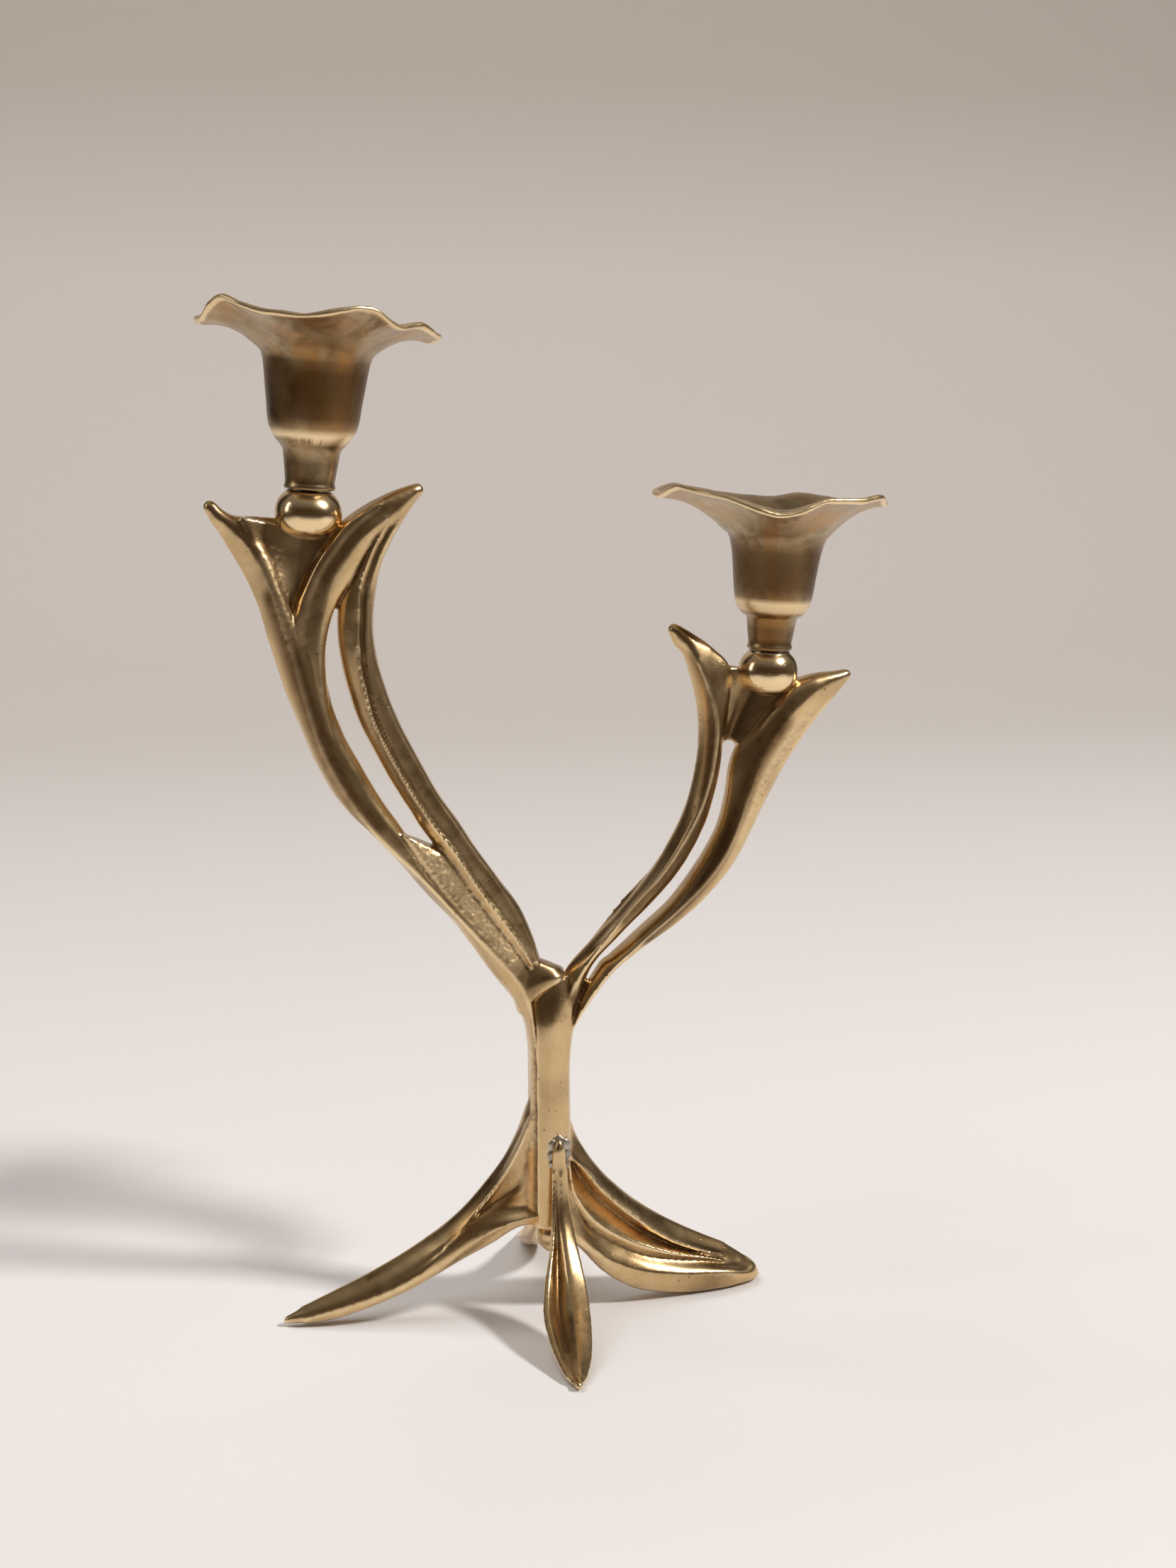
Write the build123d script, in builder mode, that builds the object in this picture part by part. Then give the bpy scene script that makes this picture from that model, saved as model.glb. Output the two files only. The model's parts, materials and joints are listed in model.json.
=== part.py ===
from build123d import *
from math import cos, radians, sin, sqrt
import os

os.makedirs("parts", exist_ok=True)

# Millimetres, +Z up, +X towards the short arm, -Y the front. Outlines are given from the trunk's
# own axis; these two place that axis so that the origin is under the middle of the whole piece.
TRUNK_X = 0.06
TRUNK_Y = -2.0

# The two candle cups: where the neck sits on the bud, how far the cup leans, its heights above
# the neck's seat, the direction of one petal, and how far the petals reach to one side.
LEFT_CUP = dict(
    seat=(-75.3, 0, 270.8), lean=4.3, shoulder=11.8, body=18.4, flare=39.0, petal=288, sway=-0.7
)
RIGHT_CUP = dict(
    seat=(70.3, 0, 218.0), lean=3.4, shoulder=10.2, body=17.0, flare=34.5, petal=90, sway=-2.7
)
NECK_R = 7.9
SHOULDER_R = 13.2
BODY_R = 15.2
CANDLE_R = 11.2  # takes a 22 mm (7/8 in) taper candle with 0.2 mm to spare all round
NECK_BEVEL = 0.6
NECK_LIP = 0.8
NECK_FLARE = 0.5  # the neck widens this much up to the shoulder
BODY_TAPER = 0.5
BODY_ROUND = 6.0  # the body is nearly at full width this far above the shoulder
THROAT_RISE = 2.5  # the cup's wall runs on this far past where the petals start
PETALS = 5
RIM_R = 37.0
RIM_RISE = 12.5
RIM_CURL = 2.2
RIM_WAVE_GROWTH = 1.6
RIM_SCALLOP = 1.0
RIM_WAVE = 4.0
PETAL_THICK = 2.0
FLARE_R = 12.6  # where the petals leave the cup's wall
FAN_SLICES = 8
PETAL_STEPS = 5

# The bud under each cup, and the M6 stud that joins the two.
BUD_R = 10.4
BUD_FOOT_R = 6.0
BUD_HEIGHT = 15.0
BUD_TOP_R = 6.5
BUD_MIDDLE = 0.47  # the widest place, as a share of the height below the top
SEAT_GAP = 0.35  # the thin dark line between bud and neck
STUD_R = 3.0
STUD_FIT = 0.05
STUD_BELOW = 9.0
STUD_ABOVE = 12.5
STUD_CHAMFER = 0.5
STUD_HOLE_EXTRA = 1.0

# The two branch castings meet on a flat brazed seam just left of the trunk's middle.
SEAM_X = -5.0
FLOOR = Plane.XY
SEAM = Plane.YZ.offset(TRUNK_X + SEAM_X)

# Each leg stands on a small ground flat: x, y and height of the boss that carries it.
PAD_R = 2.4
LEFT_PAD = (-84, 0.8, 2.2)
RIGHT_PAD = (55, 5.5, 3.4)
FRONT_PAD = (-4, -59.5, 2.2)
REAR_PAD = (0.7, 62.5, 2.2)

# The domed screw under the trunk.
TRUNK_END_Z = 29.5
SCREW_HEAD_R = 6.4
SCREW_DOME_Z = 19.5
SCREW_HEAD_Z = SCREW_DOME_Z + SCREW_HEAD_R  # centre of the head, which is part of a true ball
SCREW_NECK_R = sqrt(SCREW_HEAD_R**2 - (TRUNK_END_Z - SCREW_HEAD_Z) ** 2)
SCREW_SHANK_R = 3.0
SCREW_TOP_Z = 41.0
SCREW_FIT = 0.05
SCREW_FACE_R = 7.0  # the spot face that the screw's head beds on
SCREW_FACE_DEPTH = 12.0
SCREW_HOLE_EXTRA = 0.5

# Blade sections as shares of thickness (across the blade) and breadth (side to side).
STEM_SECTION = [
    (-0.5, 0),
    (-0.3, 0.38),
    (0, 0.5),
    (0.3, 0.38),
    (0.5, 0),
    (0.3, -0.38),
    (0, -0.5),
    (-0.3, -0.38),
]
LEAF_SECTION = [(0.5, 0), (-0.05, 0.5), (-0.4, 0.42), (-0.18, 0), (-0.4, -0.42), (-0.05, -0.5)]

TO_THE_BACK = Vector(0, 1, 0)
TO_THE_FRONT = Vector(0, -1, 0)
TO_THE_LEFT = Vector(-1, 0, 0)
TO_THE_RIGHT = Vector(1, 0, 0)


def at(x, y, z):
    """A point given from the trunk's axis."""
    return Vector(TRUNK_X + x, TRUNK_Y + y, z)


def cup_plane(cup):
    """The seat of a cup's neck, with the leaning axis of the cup as its normal."""
    lean = radians(cup["lean"])
    return Plane(at(*cup["seat"]), x_dir=(cos(lean), 0, -sin(lean)), z_dir=(sin(lean), 0, cos(lean)))


def blade(stations, side, section):
    """A blade lofted through stations of x, y, z, thickness, breadth and roll."""
    points = [at(*station[:3]) for station in stations]
    with BuildPart(mode=Mode.PRIVATE) as lofted:
        for i, station in enumerate(stations):
            thickness, breadth, roll = station[3:]
            along = points[min(i + 1, len(points) - 1)] - points[max(i - 1, 0)]
            up = side.cross(along)
            plane = Plane(points[i], x_dir=up, z_dir=along).rotated((0, 0, roll))
            with BuildSketch(plane):
                with BuildLine():
                    Polyline([(a * thickness, b * breadth) for a, b in section], close=True)
                make_face()
        loft()
    return lofted.part


def petal_point(cup, share, angle):
    """Distance from the axis and height of a petal's upper face, from its root (0) to its rim (1)."""
    wave = cos(radians(PETALS * (angle - cup["petal"])))
    radius = FLARE_R + (RIM_R - FLARE_R) * share
    reach = radius + RIM_SCALLOP * wave * share**2 + cup["sway"] * share * cos(radians(angle))
    rise = RIM_RISE * (1 - (1 - share) ** RIM_CURL) + RIM_WAVE * wave * share**RIM_WAVE_GROWTH
    return reach, cup["flare"] + rise


def petal_fan(cup, first, last):
    """The petals from one angle to another, lofted through radial slices."""
    seat = cup_plane(cup)
    shares = [i / PETAL_STEPS for i in range(PETAL_STEPS + 1)]
    with BuildPart(mode=Mode.PRIVATE) as fan:
        for step in range(FAN_SLICES + 1):
            angle = first + (last - first) * step / FAN_SLICES
            outward = seat.x_dir * cos(radians(angle)) + seat.y_dir * sin(radians(angle))
            top_face = [petal_point(cup, share, angle) for share in shares]
            with BuildSketch(Plane(seat.origin, x_dir=outward, z_dir=outward.cross(seat.z_dir))):
                with BuildLine():
                    upper = Spline(*top_face)
                    lower = Spline(*[(reach, height - PETAL_THICK) for reach, height in reversed(top_face)])
                    Line(upper @ 1, lower @ 0)
                    Line(lower @ 1, upper @ 0)
                make_face()
        loft()
    return fan.part


def candle_cup(cup):
    """A trumpet flower: neck, shoulder and body turned as one, with curled petals at the mouth."""
    plane = cup_plane(cup)
    profile_plane = Plane(plane.origin, x_dir=plane.x_dir, z_dir=-plane.y_dir)
    with BuildPart(mode=Mode.PRIVATE) as made:
        with BuildSketch(profile_plane):
            with BuildLine():
                neck = Polyline(
                    (0, 0),
                    (NECK_R - NECK_BEVEL, 0),
                    (NECK_R, NECK_LIP),
                    (NECK_R + NECK_FLARE, cup["shoulder"]),
                )
                side = Spline(
                    neck @ 1,
                    (SHOULDER_R, cup["body"]),
                    (BODY_R - BODY_TAPER, cup["body"] + BODY_ROUND),
                    (BODY_R, cup["flare"] + THROAT_RISE),
                )
                Polyline(side @ 1, (0, cup["flare"] + THROAT_RISE), (0, 0))
            make_face()
        revolve(axis=Axis(plane.origin, plane.z_dir))
        add(petal_fan(cup, 0, 120))
        add(petal_fan(cup, 120, 240))
        add(petal_fan(cup, 240, 360))
        with BuildSketch(plane.offset(cup["body"])):
            Circle(CANDLE_R)
        extrude(amount=cup["flare"] + RIM_RISE, mode=Mode.SUBTRACT)
        with BuildSketch(plane):
            Circle(STUD_R + STUD_FIT)
        extrude(amount=STUD_ABOVE + STUD_HOLE_EXTRA, mode=Mode.SUBTRACT)
    return made.part


def ground_pad(x, y, height):
    """The ground flat under a leg's tip, as a low boss inside the leaf."""
    with BuildPart(mode=Mode.PRIVATE) as made:
        with BuildSketch(Plane(at(x, y, 0))):
            Circle(PAD_R)
        extrude(amount=height)
    return made.part


def bud_blank(cup):
    """The bud before its stud hole is tapped: a ball flattened at the neck's seat."""
    plane = cup_plane(cup)
    profile_plane = Plane(plane.origin, x_dir=plane.x_dir, z_dir=-plane.y_dir)
    with BuildPart(mode=Mode.PRIVATE) as made:
        with BuildSketch(profile_plane):
            with BuildLine():
                top = Line((0, -SEAT_GAP), (BUD_TOP_R, -SEAT_GAP))
                side = ThreePointArc(
                    top @ 1,
                    (BUD_R, -BUD_HEIGHT * BUD_MIDDLE),
                    (BUD_FOOT_R, -BUD_HEIGHT),
                )
                Polyline(side @ 1, (0, -BUD_HEIGHT), (0, -SEAT_GAP))
            make_face()
        revolve(axis=Axis(plane.origin, plane.z_dir))
    return made.part


def bud(cup):
    """A finished bud, with the hole for the stud."""
    with BuildPart(mode=Mode.PRIVATE) as made:
        add(bud_blank(cup))
        with BuildSketch(cup_plane(cup)):
            Circle(STUD_R + STUD_FIT)
        extrude(amount=-STUD_BELOW - STUD_HOLE_EXTRA, mode=Mode.SUBTRACT)
    return made.part


def cup_stud(cup):
    """The stud, half in the bud and half in the cup's neck."""
    with BuildPart(mode=Mode.PRIVATE) as made:
        with BuildSketch(cup_plane(cup).offset(-STUD_BELOW)):
            Circle(STUD_R)
        extrude(amount=STUD_BELOW + STUD_ABOVE)
        chamfer(made.edges().filter_by(GeomType.CIRCLE), STUD_CHAMFER)
    return made.part


# x, y, z, thickness, breadth, roll of each blade's stations.
TRUNK = [
    (-1.3, 0, TRUNK_END_Z, 14.5, 14.5, 0),
    (-1.3, 0, 60, 14, 14.5, 0),
    (-1.2, 0, 82, 13.6, 13.6, 0),
    (-1.2, 0, 100, 15, 14, 0),
    (-0.8, 0, 110, 14, 12, 0),
    (-0.8, 0, 115.5, 6, 6, 0),
]
TALL_STEM = [
    (-4, 0, 90, 10, 12, 0),
    (-10.5, 0, 106, 14, 13, 0),
    (-21, 0, 124, 17, 14, 0),
    (-37, 0, 146, 17, 14, 0),
    (-54, 0, 165, 14, 13, 0),
    (-67, 0, 183, 13, 13, 0),
    (-76, 0, 204, 14, 13, 0),
    (-81, 0, 225, 17, 14, 0),
    (-85.5, 0, 242, 17, 14, 0),
    (-95, 0, 256, 13, 12, 0),
    (-106.5, 0, 267, 4, 5, 0),
]
TALL_INNER_STEM = [
    (-12, 0, 112, 6, 8, 0),
    (-16.5, 0, 131, 10, 11, 0),
    (-29, 0, 154, 13, 12, 0),
    (-45, 0, 179, 11, 12, 0),
    (-55, 0, 198, 11, 12, 0),
    (-61, 0, 220, 10.5, 12, 0),
    (-61, 0, 238, 12, 12, 0),
    (-57, 0, 254, 13, 12, 0),
    (-41.5, 0, 271.5, 3.5, 5, 0),
]
TALL_CALYX = [
    (-78, -1, 222, 12, 14, 0),
    (-78, -1, 238, 18, 18, 0),
    (-75, 0, 252, 26, 20, 0),
    (-74, 0, 261, 28, 14, 0),
]
SHORT_INNER_STEM = [
    (1, 0, 102, 8, 11, 0),
    (12, 0, 121, 9, 11, 0),
    (25, 0, 135, 8.5, 10, 0),
    (38, 0, 151, 8, 10, 0),
    (46.5, 0, 166, 8.5, 10, 0),
    (50.5, 0, 184, 9, 11, 0),
    (50, 0, 202, 12, 12, 0),
    (46, 0, 216, 11, 11, 0),
    (38, 0, 226.5, 4, 5, 0),
]
SHORT_STEM = [
    (3, 0, 94, 8, 12, 0),
    (14, 0, 113.5, 8, 12, 0),
    (31, 0, 127, 8, 12, 0),
    (46, 0, 139.5, 9.5, 12, 0),
    (58, 0, 157, 11.5, 12, 0),
    (64.5, 0, 174, 13.5, 12, 0),
    (73, 0, 190, 16, 13, 0),
    (83, 0, 202, 12, 11, 0),
    (96.5, 0, 209.5, 3.5, 5, 0),
]
SHORT_CALYX = [
    (60, -0.5, 184, 10, 12, 0),
    (64, -0.5, 195, 24, 17, 0),
    (69, 0, 207, 27, 14, 0),
]
LEFT_LEG = [
    (-3, 0, 79, 8, 11, 0),
    (-8, 0, 59, 10, 15, -45),
    (-16, 0.3, 41.5, 11, 23, -62),
    (-30, 0.6, 28.5, 9.5, 20, -55),
    (-47, 0.8, 17.8, 8, 16, -45),
    (-65, 0.8, 9.2, 6.5, 12.5, -35),
    (-81, 0.8, 3.4, 5, 8.5, -25),
    (-91.5, 0.8, 1.2, 2.6, 4, 0),
]
RIGHT_LEG = [
    (1, 0, 77, 8, 11, 0),
    (7, 1, 53, 12, 20, 50),
    (16, 3, 29.5, 12, 28, 68),
    (29, 6, 17, 10, 25, 60),
    (43, 8, 9.2, 8.5, 22, 48),
    (53, 9, 4.7, 7, 18, 40),
    (64, 11, 2.6, 5, 10.5, 32),
    (74, 13.5, 1.4, 2.6, 4, 10),
]
FRONT_FOOT = [
    (0.6, -8.8, 57, 2.6, 3.5, 0),
    (0.4, -10.2, 45, 4.2, 7, 0),
    (0.1, -14.5, 32.5, 5, 10.5, 0),
    (-0.8, -22, 21.5, 5.5, 14, 0),
    (-2, -33, 12.5, 5.5, 15, 0),
    (-3, -47, 5.8, 5, 13, 0),
    (-4, -59, 2.2, 4, 8.5, 0),
    (-4.4, -66.5, 1.2, 2.4, 3.5, 0),
]
REAR_FOOT = [
    (-0.6, 8.8, 57, 2.6, 3.5, 0),
    (-0.4, 10.2, 45, 4.2, 7, 0),
    (0, 14.5, 32.5, 5, 10.5, 0),
    (0.6, 22.5, 21.5, 5.5, 14, 0),
    (1.4, 34.5, 12.5, 5.5, 15, 0),
    (1.5, 49, 5.8, 5, 13, 0),
    (0.5, 62, 2.2, 4, 8.5, 0),
    (-0.5, 70.5, 1.2, 2.4, 3.5, 0),
]
FRONT_SOLDER = [
    (0.5, -7.6, 48.5, 1.6, 3.5, 0),
    (0.5, -8.2, 52, 3.4, 8, 0),
    (0.5, -8.3, 57, 3.8, 8.6, 0),
    (0.5, -7.6, 62, 1.6, 3.5, 0),
]
REAR_SOLDER = [
    (-0.5, 7.6, 48.5, 1.6, 3.5, 0),
    (-0.5, 8.2, 52, 3.4, 8, 0),
    (-0.5, 8.3, 57, 3.8, 8.6, 0),
    (-0.5, 7.6, 62, 1.6, 3.5, 0),
]

trunk = blade(TRUNK, TO_THE_BACK, STEM_SECTION)
tall_stem = blade(TALL_STEM, TO_THE_BACK, STEM_SECTION)
tall_inner_stem = blade(TALL_INNER_STEM, TO_THE_BACK, STEM_SECTION)
tall_calyx = blade(TALL_CALYX, TO_THE_BACK, STEM_SECTION)
short_stem = blade(SHORT_STEM, TO_THE_BACK, STEM_SECTION)
short_inner_stem = blade(SHORT_INNER_STEM, TO_THE_BACK, STEM_SECTION)
short_calyx = blade(SHORT_CALYX, TO_THE_BACK, STEM_SECTION)
left_leg = blade(LEFT_LEG, TO_THE_BACK, LEAF_SECTION)
right_leg = blade(RIGHT_LEG, TO_THE_FRONT, LEAF_SECTION)

with BuildPart() as left_branch:
    add(trunk)
    add(tall_stem)
    add(left_leg)
    split(bisect_by=SEAM, keep=Keep.BOTTOM)
    add(tall_inner_stem)
    add(tall_calyx)
    add(bud_blank(LEFT_CUP), mode=Mode.SUBTRACT)
    add(ground_pad(*LEFT_PAD))
    split(bisect_by=FLOOR, keep=Keep.TOP)
left_branch.part.label = "left_branch"
export_step(left_branch.part, "parts/left_branch.step")

with BuildPart() as right_branch:
    add(trunk)
    add(short_stem)
    add(short_inner_stem)
    add(right_leg)
    split(bisect_by=SEAM, keep=Keep.TOP)
    add(short_calyx)
    add(bud_blank(RIGHT_CUP), mode=Mode.SUBTRACT)
    with BuildSketch(Plane(at(0, 0, TRUNK_END_Z))):
        Circle(SCREW_FACE_R)
    extrude(amount=-SCREW_FACE_DEPTH, mode=Mode.SUBTRACT)
    with BuildSketch(Plane(at(0, 0, TRUNK_END_Z))):
        Circle(SCREW_SHANK_R + SCREW_FIT)
    extrude(amount=SCREW_TOP_Z - TRUNK_END_Z + SCREW_HOLE_EXTRA, mode=Mode.SUBTRACT)
    add(ground_pad(*RIGHT_PAD))
    split(bisect_by=FLOOR, keep=Keep.TOP)
right_branch.part.label = "right_branch"
export_step(right_branch.part, "parts/right_branch.step")

with BuildPart() as front_foot:
    add(blade(FRONT_FOOT, TO_THE_LEFT, LEAF_SECTION))
    add(ground_pad(*FRONT_PAD))
    split(bisect_by=FLOOR, keep=Keep.TOP)
front_foot.part.label = "front_foot"
export_step(front_foot.part, "parts/front_foot.step")

with BuildPart() as rear_foot:
    add(blade(REAR_FOOT, TO_THE_RIGHT, LEAF_SECTION))
    add(ground_pad(*REAR_PAD))
    split(bisect_by=FLOOR, keep=Keep.TOP)
rear_foot.part.label = "rear_foot"
export_step(rear_foot.part, "parts/rear_foot.step")

with BuildPart() as front_solder:
    add(blade(FRONT_SOLDER, TO_THE_LEFT, STEM_SECTION))
    add(right_branch.part, mode=Mode.SUBTRACT)
    add(front_foot.part, mode=Mode.SUBTRACT)
front_solder.part.label = "front_solder"
export_step(front_solder.part, "parts/front_solder.step")

with BuildPart() as rear_solder:
    add(blade(REAR_SOLDER, TO_THE_RIGHT, STEM_SECTION))
    add(right_branch.part, mode=Mode.SUBTRACT)
    add(rear_foot.part, mode=Mode.SUBTRACT)
rear_solder.part.label = "rear_solder"
export_step(rear_solder.part, "parts/rear_solder.step")

with BuildPart() as base_screw:
    with BuildSketch(Plane.XZ.offset(-TRUNK_Y)):
        with BuildLine(Plane.XZ.offset(-TRUNK_Y)):
            dome = ThreePointArc(
                (TRUNK_X, SCREW_DOME_Z),
                (TRUNK_X + SCREW_HEAD_R, SCREW_HEAD_Z),
                (TRUNK_X + SCREW_NECK_R, TRUNK_END_Z),
            )
            Polyline(
                dome @ 1,
                (TRUNK_X + SCREW_SHANK_R, TRUNK_END_Z),
                (TRUNK_X + SCREW_SHANK_R, SCREW_TOP_Z),
                (TRUNK_X, SCREW_TOP_Z),
                (TRUNK_X, SCREW_DOME_Z),
            )
        make_face()
    revolve(axis=Axis(at(0, 0, 0), (0, 0, 1)))
base_screw.part.label = "base_screw"
export_step(base_screw.part, "parts/base_screw.step")

for side_name, cup in (("left", LEFT_CUP), ("right", RIGHT_CUP)):
    for piece_name, made_by in (("bud", bud), ("cup_stud", cup_stud), ("cup", candle_cup)):
        piece = made_by(cup)
        piece.label = side_name + "_" + piece_name
        export_step(piece, "parts/" + piece.label + ".step")
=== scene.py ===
import json
import math

import bmesh
import bpy
import numpy as np
from mathutils import Matrix, Vector, kdtree, noise


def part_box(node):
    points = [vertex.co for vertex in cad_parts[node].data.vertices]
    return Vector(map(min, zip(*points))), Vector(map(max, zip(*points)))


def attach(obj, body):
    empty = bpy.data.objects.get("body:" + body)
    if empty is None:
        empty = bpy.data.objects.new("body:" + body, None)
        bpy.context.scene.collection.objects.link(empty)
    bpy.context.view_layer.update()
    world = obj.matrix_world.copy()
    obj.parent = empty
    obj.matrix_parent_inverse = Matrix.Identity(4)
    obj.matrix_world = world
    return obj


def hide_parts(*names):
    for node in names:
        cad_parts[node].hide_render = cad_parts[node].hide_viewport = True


bl_info = {
    "name": "Tabletop Candelabra",
    "version": (1, 0, 0),
    "blender": (4, 5, 0),
    "location": "3D View > Sidebar > Candelabra",
    "description": "Builds the looks of a cast brass candelabra round its packed frame",
    "category": "Add Mesh",
}

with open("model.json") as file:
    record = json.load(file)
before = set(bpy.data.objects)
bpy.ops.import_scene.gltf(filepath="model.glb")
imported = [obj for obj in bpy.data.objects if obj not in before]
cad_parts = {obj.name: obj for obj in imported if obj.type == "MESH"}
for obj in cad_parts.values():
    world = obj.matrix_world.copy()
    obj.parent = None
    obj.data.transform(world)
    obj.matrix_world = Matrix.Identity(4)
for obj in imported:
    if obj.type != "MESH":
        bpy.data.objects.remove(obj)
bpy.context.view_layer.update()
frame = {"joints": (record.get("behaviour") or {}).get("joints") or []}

MM = 0.001
ROOT = "candelabra"


def trunk_axis():
    """Where the trunk's own axis stands on the table, from the screw that runs up it."""
    low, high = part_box("base_screw")
    return Vector(((low.x + high.x) / 2, (low.y + high.y) / 2, 0))


TRUNK = trunk_axis()

# ---------------------------------------------------------------- outlines of the castings
# Millimetres from the trunk's axis: u to the right, v to the back, z up. A line with two numbers
# a point lies at one depth, given beside it, and thins out towards its tip.

TRUNK_STRIP = [
    (0, [(-8, 30), (-8.2, 40), (-7.9, 60), (-7.9, 82), (-9.4, 98), (-13.5, 107)]),
    (-4.6, [(-9.4, 32), (-9.8, 38), (-9.2, 57), (-8.5, 73), (-8.3, 89), (-9.4, 107)]),
    (-6.3, [(-7.8, 31), (-7.6, 38), (-7.2, 57), (-6.9, 73), (-6.7, 89), (-7.2, 106)]),
    (-6.2, [(-5.6, 31), (-5.5, 38), (-5.4, 57), (-5.3, 73), (-5.2, 89), (-5.2, 106)]),
    (5.6, [(-5.2, 31), (-5.2, 38), (-5.2, 57), (-5.2, 73), (-5.2, 89), (-5.2, 106)]),
    (5.2, [(-8, 31), (-8, 60), (-8, 90), (-10, 107)]),
]
TRUNK_BODY = [
    (-5.6, [(-7.4, 30), (-7.3, 57), (-7.1, 89), (-7.6, 107)]),
    (-7.2, [(-5.4, 30), (-5.2, 57), (-5, 89), (-5.4, 109.6)]),
    (-7.5, [(-2.5, 30), (-2.4, 57), (-2, 80), (-1.6, 98), (-1.2, 112.4)]),
    (-6.2, [(1.6, 30), (1.5, 57), (1.2, 80), (1.6, 98), (2.2, 114.5)]),
    (-3.9, [(4.3, 30), (4.2, 57), (3.9, 80), (5, 98), (6.6, 114.5)]),
    (0, [(5.5, 30), (5.4, 57), (5.2, 81), (6.1, 93), (9, 103), (13.6, 110)]),
    (4.4, [(4.4, 30), (4.4, 57), (4.2, 80), (5, 98), (6.6, 114.5)]),
    (7, [(0, 30), (0, 57), (0, 80), (0, 98), (0, 113)]),
    (5.8, [(-6.2, 30), (-6.2, 57), (-5.9, 89), (-6.4, 108)]),
]
TALL_ROOT = [
    (-5, [(-12, 102), (-7.4, 107), (-2.4, 110.6), (3.6, 113.6)]),
    (-6.2, [(-13, 108), (-8, 111.6), (-3, 113.8), (3, 114.8)]),
    (-5, [(-15, 113), (-10, 115.4), (-5, 116.8), (2.2, 116)]),
    (-3.4, [(-16, 117.4), (-11, 119.4), (-6, 119.4), (1.6, 116.6)]),
    (3.4, [(-16, 117.4), (-11, 119.4), (-6, 119.4), (1.6, 116.6)]),
    (5.6, [(-12, 102), (-7.4, 107.4), (-2.4, 111.6), (3.6, 115.6)]),
]
TALL_STEM = [
    (0, [(-8, 84), (-9.5, 97), (-13, 105.7), (-19, 113.6), (-25.7, 123.3), (-32.5, 133), (-41.5, 143),
         (-50.3, 154), (-59, 163.6), (-68, 173.5), (-72.2, 179.8), (-76.4, 188.5), (-80.6, 199.3),
         (-84.3, 208.8), (-86.7, 216.6), (-89.3, 225.4), (-91.7, 234.3), (-95.1, 243), (-99.8, 251.8),
         (-104.9, 259.4), (-108, 265.6)]),
    (-4.2, [(-7.6, 88), (-10, 101), (-14.4, 109.6), (-24.6, 124.6), (-40.4, 144), (-56.5, 161.6),
         (-66.4, 171.9), (-75.4, 189), (-81.4, 206), (-85.4, 221), (-89.4, 236.4), (-93.6, 246.6),
         (-98.8, 255.6), (-106.2, 265.4)]),
    (-6.4, [(-7, 92), (-9.6, 106), (-14.5, 115.5), (-28.5, 131.6), (-42.6, 147.6), (-56, 161.4),
         (-66, 175.6), (-73.6, 190.5), (-78.4, 206), (-82.2, 221), (-86.4, 235), (-90.4, 246.4),
         (-96.2, 256), (-105, 265.2)]),
    (-5.9, [(-6.4, 92), (-8.8, 108), (-14, 118), (-27, 132.4), (-40.6, 148.4), (-48.6, 160), (-58.4, 173.6),
         (-65.2, 185.8), (-70.6, 196), (-74.4, 206), (-77.6, 218), (-82.6, 232), (-86.8, 244), (-92, 254.6),
         (-104.6, 266)]),
    (-3, [(-6, 92), (-8, 110), (-14, 120), (-26, 131), (-38.6, 147), (-45.2, 158.8), (-54.9, 173.3),
         (-61.1, 184.3), (-66.1, 193.8), (-69.6, 202.8), (-71.8, 212), (-74.6, 221), (-80.4, 231),
         (-84.6, 241), (-87, 249.5), (-91.4, 257.4), (-98.5, 263), (-105.6, 267.6)]),
]
TALL_RIGHT_PRONG = [
    (-0.8, [(-61, 170), (-70, 190), (-76.5, 206), (-82.6, 222), (-81, 235), (-77.8, 243.5), (-74.2, 250.2),
         (-69.8, 256.2), (-64.8, 261.6), (-57.4, 266.4), (-49.5, 270.4), (-42, 272.8)]),
    (-5.6, [(-60.6, 170), (-69.5, 190), (-75.6, 207), (-81.4, 223.6), (-79.4, 235.5), (-76.2, 243.7),
         (-72.6, 250.4), (-68.6, 255.4), (-64, 260.8), (-57, 265.4), (-49.7, 269.2), (-42.4, 272)]),
    (-5.6, [(-60.2, 170), (-69, 190), (-74.6, 207), (-77.6, 223.6), (-75.8, 235), (-73, 243),
         (-69.2, 249.2), (-64.8, 255), (-59, 260.8), (-51.4, 266), (-43.2, 271)]),
    (-6.3, [(-59.8, 170), (-68.6, 190), (-73, 207), (-74, 223), (-72.4, 233), (-70, 242.5), (-66.6, 248),
         (-60.7, 255.8), (-52.6, 262), (-45.4, 267.8), (-42.4, 270.6)]),
    (-4.6, [(-59.4, 170), (-68, 190), (-71.4, 207), (-72, 220.6), (-70.6, 229.6), (-67.8, 237),
         (-63.6, 243.5), (-58.8, 250.8), (-53.8, 257.4), (-47.8, 264), (-42.2, 270)]),
    (-1.4, [(-59, 170), (-67.8, 190), (-71, 207), (-71.6, 220.6), (-70, 229.6), (-66.8, 238), (-62.6, 244),
         (-57.8, 250.8), (-52.8, 257.6), (-46.9, 264), (-41.8, 269.8)]),
]
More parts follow.
